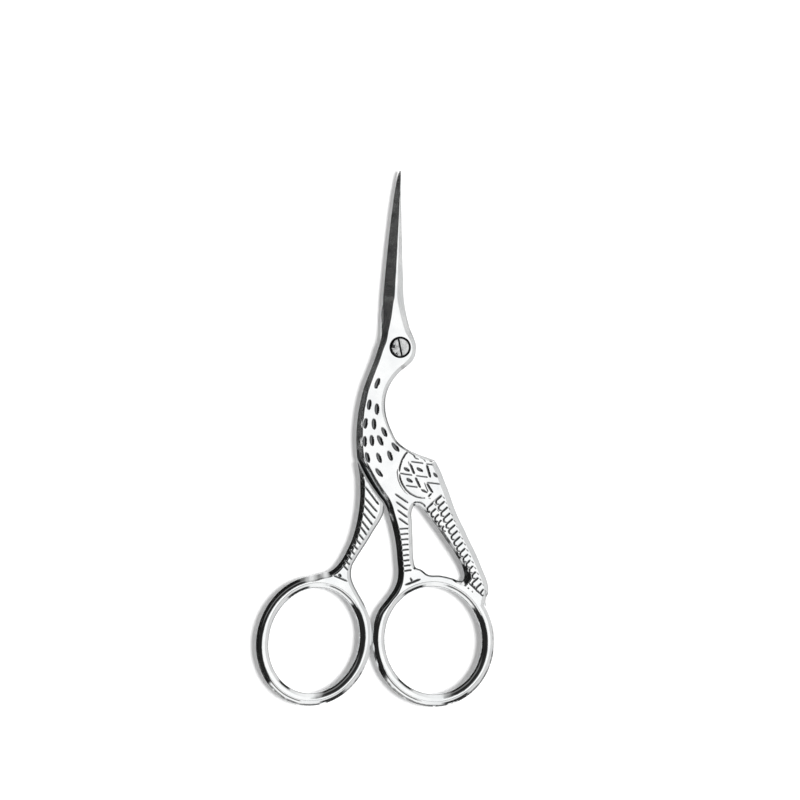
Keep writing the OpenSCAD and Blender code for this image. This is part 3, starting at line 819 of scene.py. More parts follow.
def stacked(xy, tri, z_top, z_low, part_of):
    """One mesh vertex for each corner at its own height, and walls where the parts meet in a
    step: points, the net's point under each, faces (top, low, walls) and the kinds of wall."""
    heights = np.concatenate([z_top, z_low]).ravel()
    owner = np.concatenate([tri, tri]).ravel()
    key = owner.astype(np.int64) * 2_000_000 + np.round((heights + 2) * 100_000).astype(np.int64)
    _, first, back = np.unique(key, return_index=True, return_inverse=True)
    under, z = owner[first], heights[first]
    top, low = back.reshape(2, len(tri), 3)
    column = {}
    for k, v in enumerate(under.tolist()):
        column.setdefault(v, []).append(k)
    for levels in column.values():
        levels.sort(key=lambda k: z[k])
    walls, kinds = [], []

    def wall(va, vb, a0, a1, b0, b1, kind):
        """A wall on the edge from va to vb, between the mesh vertices below and above."""
        pa = [k for k in column[va] if z[a0] <= z[k] <= z[a1]]
        pb = [k for k in column[vb] if z[b0] <= z[k] <= z[b1]]
        shape = [pa[0], *pb, *pa[:0:-1]]
        if len(set(shape)) > 2:
            walls.append(shape)
            kinds.append(kind)

    edge_of = {}
    for f, corners in enumerate(tri.tolist()):
        for s, e in ((0, 1), (1, 2), (2, 0)):
            edge_of[(corners[s], corners[e])] = (f, s, e)
    for (i, j), (f, s, e) in edge_of.items():
        other = edge_of.get((j, i))
        if other is None:
            wall(i, j, low[f, s], top[f, s], low[f, e], top[f, e], 0)
            continue
        # vertex i is corner s of f and corner ge of g
        g, gs, ge = other
        if part_of[f] == part_of[g]:
            continue
        if z[top[f, s]] > z[top[g, ge]] + 1e-5 or z[top[f, e]] > z[top[g, gs]] + 1e-5:
            wall(i, j, top[g, ge], top[f, s], top[g, gs], top[f, e], 1)
        if z[low[f, s]] < z[low[g, ge]] - 1e-5 or z[low[f, e]] < z[low[g, gs]] - 1e-5:
            wall(i, j, low[f, s], low[g, ge], low[f, e], low[g, gs], 2)
    points = np.column_stack([xy[under], z])
    return points, under, top.tolist() + low[:, ::-1].tolist() + walls, kinds


def set_hard_edges(mesh, carved, blade):
    """Hard edges: none inside the engraving, which is pressed and then buffed, and more of them
    along the crests of the blade, which is ground and stays crisp."""
    ends = np.zeros(2 * len(mesh.edges), np.int32)
    mesh.edges.foreach_get("vertices", ends)
    a, b = ends.reshape(-1, 2).T
    hard, crisp = np.zeros(len(a), bool), np.zeros(len(a), bool)
    for found, angle in ((crisp, 9), (hard, 34)):
        mesh.set_sharp_from_angle(angle=math.radians(angle))
        mesh.edges.foreach_get("use_edge_sharp", found)
    hard &= ~(carved[a] & carved[b])
    mesh.edges.foreach_set("use_edge_sharp", hard | (crisp & blade[a] & blade[b]))


def blank(name, rim_of, height, dies=None, dies_below=None, relief=None, relief_z=None,
          relief_top=False, pockets=(), bore=None, grid=GRID, floor_z=None, uneven=0.01,
          materials=(), extra=(), lobes=(), gap=()):
    """Makes one piece of steel as a closed mesh.

    height(xy) is the height of the flats above the middle; relief is a polygon inside which
    the piece is ground to relief_z from below, or from above if relief_top is set. pockets are
    (polygon, floor height), cut from above, and bore is a polygon cut right through. Feathers
    in lobes flatten the flank round them, and shade is painted on the flanks near the points of gap.
    """
    lines = [rows[:, :2] for rows in rim_of.loops] + [polygon for polygon, _ in pockets]
    if bore is not None:
        lines.append(bore)
    if relief is not None:
        corners = np.array(relief, float)
        lines.append(np.vstack([
            a + (b - a) * np.linspace(0, 1, max(1, round(np.hypot(*(b - a)) / LINE_STEP)),
                                      endpoint=False)[:, None]
            for a, b in zip(corners, np.roll(corners, -1, 0))]))
    marks = [d.low for d in (dies, dies_below) if d is not None]
    xy, tri, centre = net_of(rim_of, lines, np.vstack(marks) if marks else [], extra, grid, bore)

    # the flank's fall, nearness to its crest, the lap's bevel and the painted shade along the edge
    drop, crest, bevel, film_and_shade = np.zeros((4, len(xy)))
    for m in rim_of.measure(xy):
        film_and_shade = np.maximum(film_and_shade, m[:, 6] * np.clip((0.34 - m[:, 0]) / 0.16, 0, 1))
        drop = np.maximum(drop, flank(m[:, 0], m[:, 1:]))
        crest = np.maximum(crest, np.exp(-(((m[:, 0] / np.maximum(m[:, 3], 0.05)) - 1) / 0.1) ** 2))
        bevel = np.maximum(bevel, m[:, 8] - m[:, 0])
    for x, y, turn in lobes:
        c, s = math.cos(math.radians(turn)), math.sin(math.radians(turn))
        u, v = xy[:, 0] - x, xy[:, 1] - y
        far = np.hypot((u * c + v * s) / LOBE_WIDE, (v * c - u * s) / LOBE_LONG)
        drop *= np.clip((far - 1.12) / 0.3, 0, 1)
    tall = height(xy) - drop
    # long and short waves left by hand polishing, least on the flats
    wave, fine = (np.array([noise.noise(Vector((x * across, y * along_y, level)))
                            for x, y in xy.tolist()])
                  for across, along_y, level in ((0.55, 0.4, 3), (1.9, 1.1, 9)))
    sway = uneven * (wave + 0.3 * fine) * (0.25 + np.clip(drop, 0, 0.75))
    pressed_top, pressed_low = (np.zeros(len(xy)) if d is None else d.depth(xy)
                                for d in (dies, dies_below))
    top = MID + np.clip(tall + sway + pressed_top, 0.1, MID)
    low = MID - np.clip(tall - sway * 0.8 + pressed_low, 0.1, MID)
    if floor_z is not None:
        low[:] = floor_z
    pocket_of = np.full(len(tri), -1)
    ground = inside(centre, np.array(relief)) if relief is not None else np.zeros(len(tri), bool)
    z_top, z_low = top[tri], low[tri]
    if relief is not None and relief_top:
        face = np.minimum(relief_z, relief_z - np.maximum(bevel, 0))
        z_top[ground] = np.maximum(face, low + 0.05)[tri][ground]
    elif relief is not None:
        z_low[ground] = relief_z
        z_top[ground] = np.maximum(z_top[ground], relief_z + 0.04)
    for k, (polygon, z) in enumerate(pockets):
        pocket_of[inside(centre, np.array(polygon))] = k
        z_top[pocket_of == k] = z

    points, under, faces, wall_kinds = stacked(xy, tri, z_top, z_low, 2 * pocket_of + ground)
    mesh = bpy.data.meshes.new(name)
    mesh.from_pydata((points * MM).tolist(), [], faces)
    for material in materials:
        mesh.materials.append(material)
    n = len(tri)
    index = np.zeros(len(faces), np.int32)
    if relief is not None:
        plain = ground & ~(relief_top & (bevel[tri].max(1) > 0.02))
        (index[:n] if relief_top else index[n : 2 * n])[plain] = 2
    index[:n][pocket_of >= 0] = 1
    index[2 * n :] = wall_kinds
    mesh.polygons.foreach_set("material_index", np.minimum(index, max(len(materials) - 1, 0)))

    # brushing shows on the ground flanks and fades out down the body and the bows
    z = points[:, 2]
    is_top = z > MID
    ground_share = np.clip(drop / 0.04, 0, 1) * np.clip((xy[:, 1] + 47) / 6, 0, 1)
    ground_share *= 0.3 + 0.7 * np.clip((xy[:, 1] + 32) / 10, 0, 1)
    pressed = np.where(is_top, pressed_top[under], pressed_low[under])
    sunk_and_shade = -pressed
    # painted shade: the pockets, the screw's seat and its slot, take a fixed dark value
    for _, pocket_z in pockets:
        sunk_and_shade[np.abs(z - pocket_z) < 1e-6] = 0.35
    # painted shade along the edges joins in, on the top side
    sunk_and_shade = np.maximum(np.clip(sunk_and_shade / 0.4, 0, 1), film_and_shade[under] * is_top)
    # painted shade within about 1.35 mm of the gap, below the top face
    if len(gap):
        beside = np.min([np.hypot(*(points[:, :2] - q).T) for q in gap], axis=0)
        gap_shade = np.clip((1.35 - beside) / 0.3, 0, 1) * np.clip((THICK - 0.55 - z) / 0.2, 0, 1)
        sunk_and_shade = np.maximum(sunk_and_shade, 0.42 * gap_shade * (z > MID - 0.1))
    shades = {"brushed": ground_share[under], "worn_edge": crest[under], "sunk_and_shade": sunk_and_shade}
    for label, values in shades.items():
        attribute = mesh.attributes.new(label, "FLOAT", "POINT")
        attribute.data.foreach_set("value", values.astype(np.float32))
    mesh.polygons.foreach_set("use_smooth", np.ones(len(faces), bool))
    set_hard_edges(mesh, pressed < -0.002, points[:, 1] > HEEL - 2)
    mesh.validate()
    mesh.update()
    return linked(name, mesh)


def inside_material(points, rim_of):
    """True where a point lies inside the outer loop and outside the openings."""
    good = np.zeros(len(points), bool)
    for start in range(0, len(points), 4000):
        q = points[start : start + 4000]
        hit = inside(q, rim_of.loops[0][:, :2])
        for rows in rim_of.loops[1:]:
            hit &= ~inside(q, rows[:, :2])
        good[start : start + 4000] = hit
    return good


def circle(radius, count):
    """The points of a circle round the pivot."""
    angles = [2 * math.pi * i / count for i in range(count)]
    return [(radius * math.cos(a), radius * math.sin(a)) for a in angles]


def flats(xy):
    """Height of the flats above the middle: full at the body, falling along the blade."""
    y = xy[:, 1]
    rest = 1 - np.clip((y - HEEL) / (TIP - HEEL), 0, 1)
    tall = TIP_HALF + (MID - TIP_HALF) * rest**0.8
    low = np.clip((-y - 44) / 8, 0, 1)
    low = low * low * (3 - 2 * low)
    return tall - 0.05 * low


# Finishes


def new_material(name):
    """An empty material and its node tree."""
    material = bpy.data.materials.new(name)
    material.use_nodes = True
    material.node_tree.nodes.clear()
    return material, material.node_tree


def tinted_by_film_and_shade(tree, colour, settings):
    """The colour darkened by depth: the grey film that stays in the engraving, deepened with painted
    shade, and painted shade along the edges and beside the gap; it thins out at the lips.
    """
    sunk_and_shade = add(tree, "ShaderNodeAttribute", attribute_name="sunk_and_shade")
    # painted shade, with the grey film of the engraving: the colour falls with depth and where edge
    # and seam shade is painted
    film_and_shade = add(tree, "ShaderNodeValToRGB", {"Fac": sunk_and_shade.outputs["Fac"]}, stops=[
        (0.02, 1), (0.3, paint(settings.recess_dark)), (0.65, paint(settings.recess_light))])
    tinted = add(tree, "ShaderNodeMix", {0: 1.0, 6: colour, 7: film_and_shade},
                 data_type="RGBA", blend_type="MULTIPLY")
    return tinted.outputs[2], sunk_and_shade.outputs["Fac"]


def plated_steel(settings):
    """Nickel-plated carbon steel, hand polished: a near mirror with faint wheel marks."""
    material, tree = new_material("Nickel plated steel, polished")
    where = add(tree, "ShaderNodeTexCoord").outputs["Object"]
    # 0.12 mm wheel marks, along the blade, drawn a little coarser than real so that they show
    stretch = add(tree, "ShaderNodeMapping", {"Vector": where, "Scale": (7000, 900, 3000)})
    marks = add(tree, "ShaderNodeTexNoise", {"Vector": stretch, "Scale": 1.0,
                                             "Detail": 3.0, "Roughness": 0.6})
    haze = add(tree, "ShaderNodeTexNoise", {"Vector": where, "Scale": 260.0, "Detail": 4.0})
    rough = add(tree, "ShaderNodeMapRange", {
        "Value": haze, "From Min": 0.3, "From Max": 0.7,
        "To Min": settings.polish, "To Max": settings.polish + 0.06})
    worn = add(tree, "ShaderNodeAttribute", attribute_name="worn_edge")
    rough_edge = add(tree, "ShaderNodeMath", {0: worn.outputs["Fac"], 1: 0.06},
                     operation="MULTIPLY")
    brushed = add(tree, "ShaderNodeAttribute", attribute_name="brushed")
    rough_edge = add(tree, "ShaderNodeMath", {
        0: brushed.outputs["Fac"], 1: settings.brush, 2: rough_edge},
        operation="MULTIPLY_ADD")
    rough_all = add(tree, "ShaderNodeMath", {0: rough, 1: rough_edge}, operation="ADD")
    tone = add(tree, "ShaderNodeValToRGB", {"Fac": haze}, stops=[
        (0.25, paint(settings.steel_dark)), (0.6, paint(settings.steel_light))])
    bump = add(tree, "ShaderNodeBump", {"Height": marks, "Strength": 0.06, "Distance": 0.00002})
    # the colour carries the engraving's grey film and the painted shade
    tinted, sunk_and_shade = tinted_by_film_and_shade(tree, tone, settings)
    dull = add(tree, "ShaderNodeMapRange", {
        "Value": sunk_and_shade, "From Min": 0.05, "From Max": 0.3,
        "To Min": 0.0, "To Max": 0.16})
    rough_all = add(tree, "ShaderNodeMath", {0: rough_all, 1: dull}, operation="ADD")
    shader = add(tree, "ShaderNodeBsdfPrincipled", {
        "Base Color": tinted, "Metallic": 1.0, "Roughness": rough_all,
        "Normal": bump})
    add(tree, "ShaderNodeOutputMaterial", {"Surface": shader})
    return material


def shaded_recess_steel(settings):
    """Plated steel in the pockets and on the steps between faces: dark with painted shade in the
    screw's slot and round its head.
    """
    material, tree = new_material("Nickel plated steel, recess with painted shade")
    where = add(tree, "ShaderNodeTexCoord").outputs["Object"]
    # grain of 0.15 mm: the struck surface, and the painted shade spread unevenly over it
    grain = add(tree, "ShaderNodeTexNoise", {"Vector": where, "Scale": 4200.0, "Detail": 3.0})
    sunk_and_shade = add(tree, "ShaderNodeAttribute", attribute_name="sunk_and_shade")
    film_and_shade = add(tree, "ShaderNodeMapRange", {
        "Value": grain, "From Min": 0.3, "From Max": 0.7,
        "To Min": 0.75, "To Max": 1.15})
    mix = add(tree, "ShaderNodeMath", {0: sunk_and_shade.outputs["Fac"], 1: film_and_shade}, operation="MULTIPLY")
    tone = add(tree, "ShaderNodeValToRGB", {"Fac": mix}, stops=[
        (0.0, paint(settings.steel_dark)), (0.16, paint(settings.recess_shade))])
    bump = add(tree, "ShaderNodeBump", {"Height": grain, "Strength": 0.25, "Distance": 0.00003})
    rough = add(tree, "ShaderNodeMapRange", {"Value": grain, "To Min": 0.2, "To Max": 0.42})
    shader = add(tree, "ShaderNodeBsdfPrincipled", {
        "Base Color": tone, "Metallic": 1.0, "Roughness": rough,
        "Normal": bump})
    add(tree, "ShaderNodeOutputMaterial", {"Surface": shader})
    return material


def ground_steel(settings):
    """Carbon steel as it leaves the grinding wheel: fine lines across the blade, soft sheen."""
    material, tree = new_material("Carbon steel, flat ground")
    where = add(tree, "ShaderNodeTexCoord").outputs["Object"]
    # grinding lines 0.1 mm apart, across the blade
    lines = add(tree, "ShaderNodeMapping", {"Vector": where, "Scale": (500, 9500, 500),
                                            "Rotation": (0, 0, 0.12)})
    grit = add(tree, "ShaderNodeTexNoise", {"Vector": lines, "Scale": 1.0,
                                            "Detail": 4.0, "Roughness": 0.65})
    cloud = add(tree, "ShaderNodeTexNoise", {"Vector": where, "Scale": 380.0, "Detail": 3.0})
    both = add(tree, "ShaderNodeMath", {0: grit, 1: cloud}, operation="MULTIPLY")
    tone = add(tree, "ShaderNodeValToRGB", {"Fac": both}, stops=[
        (0.1, paint(settings.ground_dark)), (0.4, paint(settings.ground_light))])
    rough = add(tree, "ShaderNodeMapRange", {"Value": grit, "To Min": 0.2, "To Max": 0.45})
    bump = add(tree, "ShaderNodeBump", {"Height": grit, "Strength": 0.3, "Distance": 0.00003})
    shader = add(tree, "ShaderNodeBsdfPrincipled", {
        "Base Color": tone, "Metallic": 1.0, "Roughness": rough,
        "Normal": bump})
    add(tree, "ShaderNodeOutputMaterial", {"Surface": shader})
    return material


def screw_steel(settings):
    """Turned steel screw, plated and then worn by the driver: scratched, and darker in lobes over
    its left half.
    """
    material, tree = new_material("Turned steel, driver worn")
    where = add(tree, "ShaderNodeTexCoord").outputs["Object"]
    # turning rings 0.08 mm apart round the pivot
    x, y, _ = add(tree, "ShaderNodeSeparateXYZ", {0: where}).outputs
    across = add(tree, "ShaderNodeCombineXYZ", {0: x, 1: y})
    radius = add(tree, "ShaderNodeVectorMath", {0: across}, operation="LENGTH")
    ring = add(tree, "ShaderNodeMath", {0: radius.outputs["Value"], 1: 78000.0},
               operation="MULTIPLY")
    wave = add(tree, "ShaderNodeMath", {0: ring}, operation="SINE")
    spots = add(tree, "ShaderNodeTexNoise", {"Vector": where, "Scale": 900.0, "Detail": 4.0,
                                             "Roughness": 0.55})
    # the head is darker in mottled lobes over its left half
    left = add(tree, "ShaderNodeMapRange", {
        "Value": x, "From Min": -0.0016, "From Max": 0.0002,
        "To Min": 0.56, "To Max": 0.25})
    left_dark = add(tree, "ShaderNodeMath", {0: left, 1: spots}, operation="GREATER_THAN")
    tone = add(tree, "ShaderNodeMix", {
        0: left_dark, 6: paint(settings.screw_light), 7: paint(settings.screw_left_dark)},
        data_type="RGBA")
    rough = add(tree, "ShaderNodeMapRange", {"Value": spots, "To Min": 0.1, "To Max": 0.4})
    bump = add(tree, "ShaderNodeBump", {"Height": wave, "Strength": 0.12, "Distance": 0.00002})
    rub = add(tree, "ShaderNodeBump", {"Height": spots, "Strength": 0.5,
                                       "Distance": 0.00012, "Normal": bump})
    shader = add(tree, "ShaderNodeBsdfPrincipled", {
        "Base Color": tinted_by_film_and_shade(tree, tone.outputs[2], settings)[0], "Metallic": 1.0,
        "Roughness": rough, "Normal": rub})
    add(tree, "ShaderNodeOutputMaterial", {"Surface": shader})
    return material


# Finishes made so far
_finish = {}


def finish_named(name, settings):
    """Each finish is made once and shared."""
    makers = {"plated": plated_steel, "engraved": shaded_recess_steel, "ground": ground_steel,
              "screw": screw_steel}
    if name not in _finish:
        _finish[name] = makers[name](settings)
    return _finish[name]


# Settings


class ScissorsEngraving(bpy.types.PropertyGroup):
    """Sizes of the ornament, in millimetres."""

    groove_width: FloatProperty(
        name="Groove width", description="Width of a graver stroke, mm", default=0.33, min=0.1,
        max=0.8)
    groove_depth: FloatProperty(
        name="Groove depth", description="Depth of a graver stroke, mm", default=0.17, min=0.05,
        max=0.5)
    feather_length: FloatProperty(
        name="Feather length", description="Length of a feather mark, mm", default=2.35, min=1,
        max=4)
    feather_width: FloatProperty(
        name="Feather width", description="Width of a feather mark, mm", default=0.86, min=0.4,
        max=2)
    feather_depth: FloatProperty(
        name="Feather depth", description="Depth of a feather mark, mm", default=0.3, min=0.1,
        max=0.7)
    scale_pitch: FloatProperty(
        name="Scale pitch", description="Step of the tail scales along the tail, mm",
        default=1.283, min=0.8, max=3)
    unevenness: FloatProperty(
        name="Hand unevenness", description="Waviness left by hand polishing, mm", default=0.05,
        min=0, max=0.2)


class ScissorsFinish(bpy.types.PropertyGroup):
    """Colours and polish of the steel."""

    steel_light: StringProperty(
        name="Plating, light", description="Colour of the polished plating", default="#F4F5F5")
    steel_dark: StringProperty(
        name="Plating, dark", description="Colour of the plating where it is hazy",
        default="#E6E8E9")
    # the two recess colours also give the painted shade along edges and beside the seam
    recess_light: StringProperty(
        name="Recess, light", description="Colour at the lips of the engraving", default="#7A7B7C")
    recess_dark: StringProperty(
        name="Recess, dark", description="Colour at the bottom of the engraving",
        default="#4E4F50")
    recess_shade: StringProperty(
        name="Recess, painted shade", description="Colour in the slot and round the screw's head",
        default="#262728")
    ground_light: StringProperty(
        name="Ground face, light", description="Colour of the ground inner faces",
        default="#C9CACA")
    ground_dark: StringProperty(
        name="Ground face, dark", description="Colour between the grinding lines",
        default="#9C9E9F")
    screw_light: StringProperty(
        name="Screw, light", description="Colour of the clean part of the screw",
        default="#D9DADA")
    screw_left_dark: StringProperty(
        name="Screw, darker left half", description="Colour of the darker lobes on the left half of the screw",
        default="#4A4A4B")
    polish: FloatProperty(
        name="Polish", description="Roughness of the polished plating", default=0.05, min=0,
        max=0.5, subtype="FACTOR")
    brush: FloatProperty(
        name="Flank brushing", description="Roughness added on the ground flanks", default=0.15,
        min=0, max=0.6, subtype="FACTOR")


class ScissorsStudio(bpy.types.PropertyGroup):
    """Floor, lights and camera."""

    floor_colour: StringProperty(
        name="Floor", description="Colour of the floor", default="#F7F7F7")
    key_strength: FloatProperty(
        name="Key light", description="Strength of the soft light from the right", default=2.65,
        min=0, max=10)
    sky_strength: FloatProperty(
        name="Soft box", description="Brightness of the ceiling of the light tent", default=1.1,
        min=0, max=5)
    fill_strength: FloatProperty(
        name="Fill light", description="Brightness of the tent on matt surfaces", default=0.28,
        min=0, max=5)
    camera_distance: FloatProperty(
        name="Camera distance", description="Height of the camera above the table", default=0.6,
        min=0.2, max=3, unit="LENGTH")


# Operators


def groove_of(engraving, recess):
    """The graver's groove, as the trees are given it."""
    return {"Width": engraving.groove_width, "Depth": engraving.groove_depth,
            "Spacing": 0.22, "End size": 0.55, "Material": recess}


def stroke_die(name, engraving, recess, strokes, cuts):
    """Graver strokes as (size, points), and straight cuts from point to point."""
    straight = [(CUT_SIZE, [c[:2], c[2:]]) for c in cuts]
    points, edges, sizes = stroke_points(strokes + straight)
    return die(name, graver_tree(), points, edges, {"cut": ("FLOAT", sizes)},
               groove_of(engraving, recess))


def front_dies(engraving, recess):
    """The ornament of the front half as dies, all from geometry trees."""
    strokes = stroke_die("strokes", engraving, recess, WING, LEG_CUTS)
    guide, guide_edges, lengths = [], [], []
    for path, size in TAIL_ROWS:
        start = len(guide)
        guide += path
        lengths += size
        guide_edges += [(start + i, start + i + 1) for i in range(len(path) - 1)]
    scales = die("scales", scale_tree(), guide, guide_edges, {"length": ("FLOAT", lengths)},
                 {**groove_of(engraving, recess), "Pitch": engraving.scale_pitch,
                  "End size": 0.8})
    return [strokes, scales, feather_die(engraving, recess, FEATHERS, SEEDS[:-1])]


def feather_die(engraving, recess, feathers, seeds):
    """Feather marks at the given places, and the smaller seed marks."""
    rows = [(x, y, turn, 1, 1) for x, y, turn in feathers] + list(seeds)
    return die("feathers", feather_tree(), [r[:2] for r in rows], [], {
        "turn": ("FLOAT", [math.radians(r[2]) for r in rows]),
        "share": ("FLOAT_VECTOR", [(r[4], r[3], min(1, 0.4 + 0.6 * r[4])) for r in rows]),
    }, {"Length": engraving.feather_length, "Width": engraving.feather_width,
        "Depth": engraving.feather_depth, "Material": recess})


class SCISSORS_OT_front_half(bpy.types.Operator):
    """Forge, grind and engrave the front half"""

    bl_idname = "scissors.front_half"
    bl_label = "Front half"

    def execute(self, context):
        engraving = context.scene.scissors_engraving
        finish = context.scene.scissors_finish
        materials = [finish_named(n, finish) for n in ("plated", "engraved", "ground")]
        dies = Dies(front_dies(engraving, materials[1]))
        # ground from below everywhere above the line of the lap: neck, hidden edge, crotch
        hidden = [(-3.55 - 0.95 * (1 - t), -14.4 - 18.6 * t) for t in (0.25, 0.35, 0.95)]
        crotch = seam(1, SEAM)
        relief = [
            (-FAR, FAR), (FAR, FAR), (FAR, hidden[0][1]), (hidden[0][0] + 0.8, hidden[0][1]),
            (hidden[1][0] + 0.4, hidden[1][1]), (hidden[2][0] + 0.4, hidden[2][1]),
            (crotch[0], crotch[1] - 0.6), (-FAR, -34.2),
        ]
        # the seat round the screw's head is dark with painted shade, and shade is painted on the
        # flanks beside the seam
        piece = blank(
            "front_half_forging", Rim(front_loops(OUTLINE_STEP)), flats, dies=dies,
            dies_below=dies, relief=relief, relief_z=MID + LAP,
            pockets=[(circle(SEAT_RADIUS, 72), SEAT_FLOOR)], bore=circle(BORE_RADIUS, 56),
            uneven=engraving.unevenness, materials=materials, lobes=NECK_FEATHERS, gap=LAP_LINE)
        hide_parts("front_half")
        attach(piece, "front")
        return {"FINISHED"}


class SCISSORS_OT_back_half(bpy.types.Operator):
    """Forge, grind and engrave the back half"""

    bl_idname = "scissors.back_half"
    bl_label = "Back half"

    def execute(self, context):
        engraving = context.scene.scissors_engraving
        finish = context.scene.scissors_finish
        materials = [finish_named(n, finish) for n in ("plated", "engraved", "ground")]
        strokes = stroke_die("thigh strokes", engraving, materials[1], [], THIGH_CUTS)
        dies = Dies([strokes, feather_die(engraving, materials[1], [], SEEDS[-1:])])
        # from below, the feathers of the outer row lie on the back half
        under = [f for f in FEATHERS if f[0] < -4.4 and f[1] > -30]
        dies_below = Dies([strokes, feather_die(engraving, materials[1], under, SEEDS[-1:])])
        # ground from above everywhere above the line of the lap, which runs along the seam
        crotch = seam(1, 0)
        relief = [(-FAR, FAR), (FAR, FAR), (FAR, -34.4), (crotch[0] + 1.5, crotch[1] - 0.4)]
        relief += [seam(t, -SEAM) for t in np.linspace(1, 0, 13)]
        relief += [(-11.35, -22.4), (-FAR, -22.4)]
        steps = rim([seam(t, -SEAM) for t in np.linspace(0.02, 1, 12)], [0.2, 0.3, 0.45], 0.84,
                    0.2, 0, 9)
        rim_of = Rim(back_loops(OUTLINE_STEP), [along(steps, OUTLINE_STEP)])
        # shade is painted on the flanks beside the seam
        piece = blank(
            "back_half_forging", rim_of, flats, dies=dies, dies_below=dies_below, relief=relief,
            relief_z=MID - LAP, relief_top=True, bore=circle(SHANK_RADIUS, 48),
            uneven=engraving.unevenness, materials=materials, gap=LAP_LINE)
        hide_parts("back_half")
        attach(piece, "back")
        return {"FINISHED"}


class SCISSORS_OT_pivot_screw(bpy.types.Operator):
    """Turn the slotted pivot screw"""

    bl_idname = "scissors.pivot_screw"
    bl_label = "Pivot screw"

    def execute(self, context):
        finish = context.scene.scissors_finish
        steel, recess = finish_named("screw", finish), finish_named("engraved", finish)
        # the head's very edge carries painted shade
        head = rim(circle(HEAD_RADIUS, 90), 0.3, 0.8, 0.2, 0.3, 0)
        # the slot, longer than the head is wide, with edges that a driver has chewed a little
        c, s = math.cos(SLOT_TURN), math.sin(SLOT_TURN)
        slot = []
        for side in (-1, 1):
            for k in np.linspace(-2.6, 2.6, 40) * -side:
                rough = SLOT_HALF + 0.05 * noise.noise(Vector((k * 2.2, side * 5, 0)))
                slot.append((k * c - side * rough * s, k * s + side * rough * c))
        steps = np.arange(-2, 2, 0.13)
        inner = [(x, y) for y in steps for x in steps if math.hypot(x, y) < 1.7]

        def dome(xy):
            """Height of the head above the middle: a faint crown with dents."""
            r = np.hypot(xy[:, 0], xy[:, 1])
            dent = [noise.noise(Vector((x * 1.3 + 4, y * 1.3, 2))) for x, y in xy.tolist()]
            return HEAD_TOP - MID - 0.012 * r**2 + 0.05 * np.minimum(dent, 0) - 0.01

        # the slot takes the recess finish, dark with painted shade
        piece = blank("pivot_screw_head", Rim([loop_of([head], 0.15)]), dome,
                      pockets=[(slot, SLOT_FLOOR)], floor_z=HEAD_UNDER, uneven=0.01,
                      materials=[steel, recess], extra=[np.array(inner)], grid=0.3)
        turned = [(SHOULDER_RADIUS, HEAD_UNDER), (SHOULDER_RADIUS, SHOULDER_END),
                  (SHANK_RADIUS, SHOULDER_END), (SHANK_RADIUS, SHANK_END),
                  (END_RADIUS, SCREW_END)]
        count = 64
        verts, faces = [(0, 0, HEAD_UNDER)], []
        for r, z in turned:
            verts += [(x, y, z) for x, y in circle(r, count)]
        verts.append((0, 0, SCREW_END))
        last = 1 + (len(turned) - 1) * count
        for i in range(count):
            j = (i + 1) % count
            faces.append((0, 1 + i, 1 + j))
            for a in range(1, last, count):
                faces.append((a + i, a + count + i, a + count + j, a + j))
            faces.append((last + j, last + i, len(verts) - 1))
        mesh = bpy.data.meshes.new("pivot_screw_shank")
        mesh.from_pydata([tuple(c * MM for c in v) for v in verts], [], faces)
        mesh.materials.append(steel)
        mesh.polygons.foreach_set("use_smooth", np.ones(len(faces), bool))
        mesh.set_sharp_from_angle(angle=math.radians(30))
        shank_piece = linked("pivot_screw_shank", mesh)
        for part in (piece, shank_piece):
            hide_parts("pivot_screw")
            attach(part, "back")
        return {"FINISHED"}


def white_board(studio):
    """Matt white card with a faint grain: pale, and white where the camera sees it lit."""
    material, tree = new_material("Matt white board")
    # fibre clumps of 1.4 mm
    where = add(tree, "ShaderNodeTexCoord").outputs["Object"]
    paper = add(tree, "ShaderNodeTexNoise", {"Vector": where, "Scale": 700.0})
    tone = add(tree, "ShaderNodeValToRGB", {"Fac": paper}, stops=[
        (0, paint(studio.floor_colour)), (1, paint("#FFFFFF"))])
    board = add(tree, "ShaderNodeBsdfDiffuse", {"Color": tone})
    path = add(tree, "ShaderNodeLightPath")
    seen = path.outputs["Is Camera Ray"]
    for other in ("Is Glossy Ray", "Is Transmission Ray"):
        seen = add(tree, "ShaderNodeMath", {0: seen, 1: path.outputs[other]}, operation="ADD",
                   use_clamp=True)
    lift = add(tree, "ShaderNodeMath", {0: seen, 1: 0.12}, operation="MULTIPLY")
    glow = add(tree, "ShaderNodeEmission", {"Strength": lift})
    both = add(tree, "ShaderNodeAddShader", {0: board, 1: glow})
    add(tree, "ShaderNodeOutputMaterial", {"Surface": both})
    return material


# What stands dark in the tent: direction, how closely it is met, and the heights where it starts
DARK_THINGS = [
    ((0.383, -0.924, 0), (0.965, 0.985), (0.66, 0.6)),  # a stand, low at the front
    ((0.669, 0.743, 0), (0.978, 0.99), (0.56, 0.5)),  # the edge of the door, at the rear right
]
FOLD, FOLD_EDGE = (-0.574, -0.819, 0), (0.92, 0.95)
ROOM, ROOM_EDGE = (-0.956, 0.292, 0), (0.1, 0.17)
CLOTH, CLOTH_REACH = (0.2, 0.12, 0), 0.46


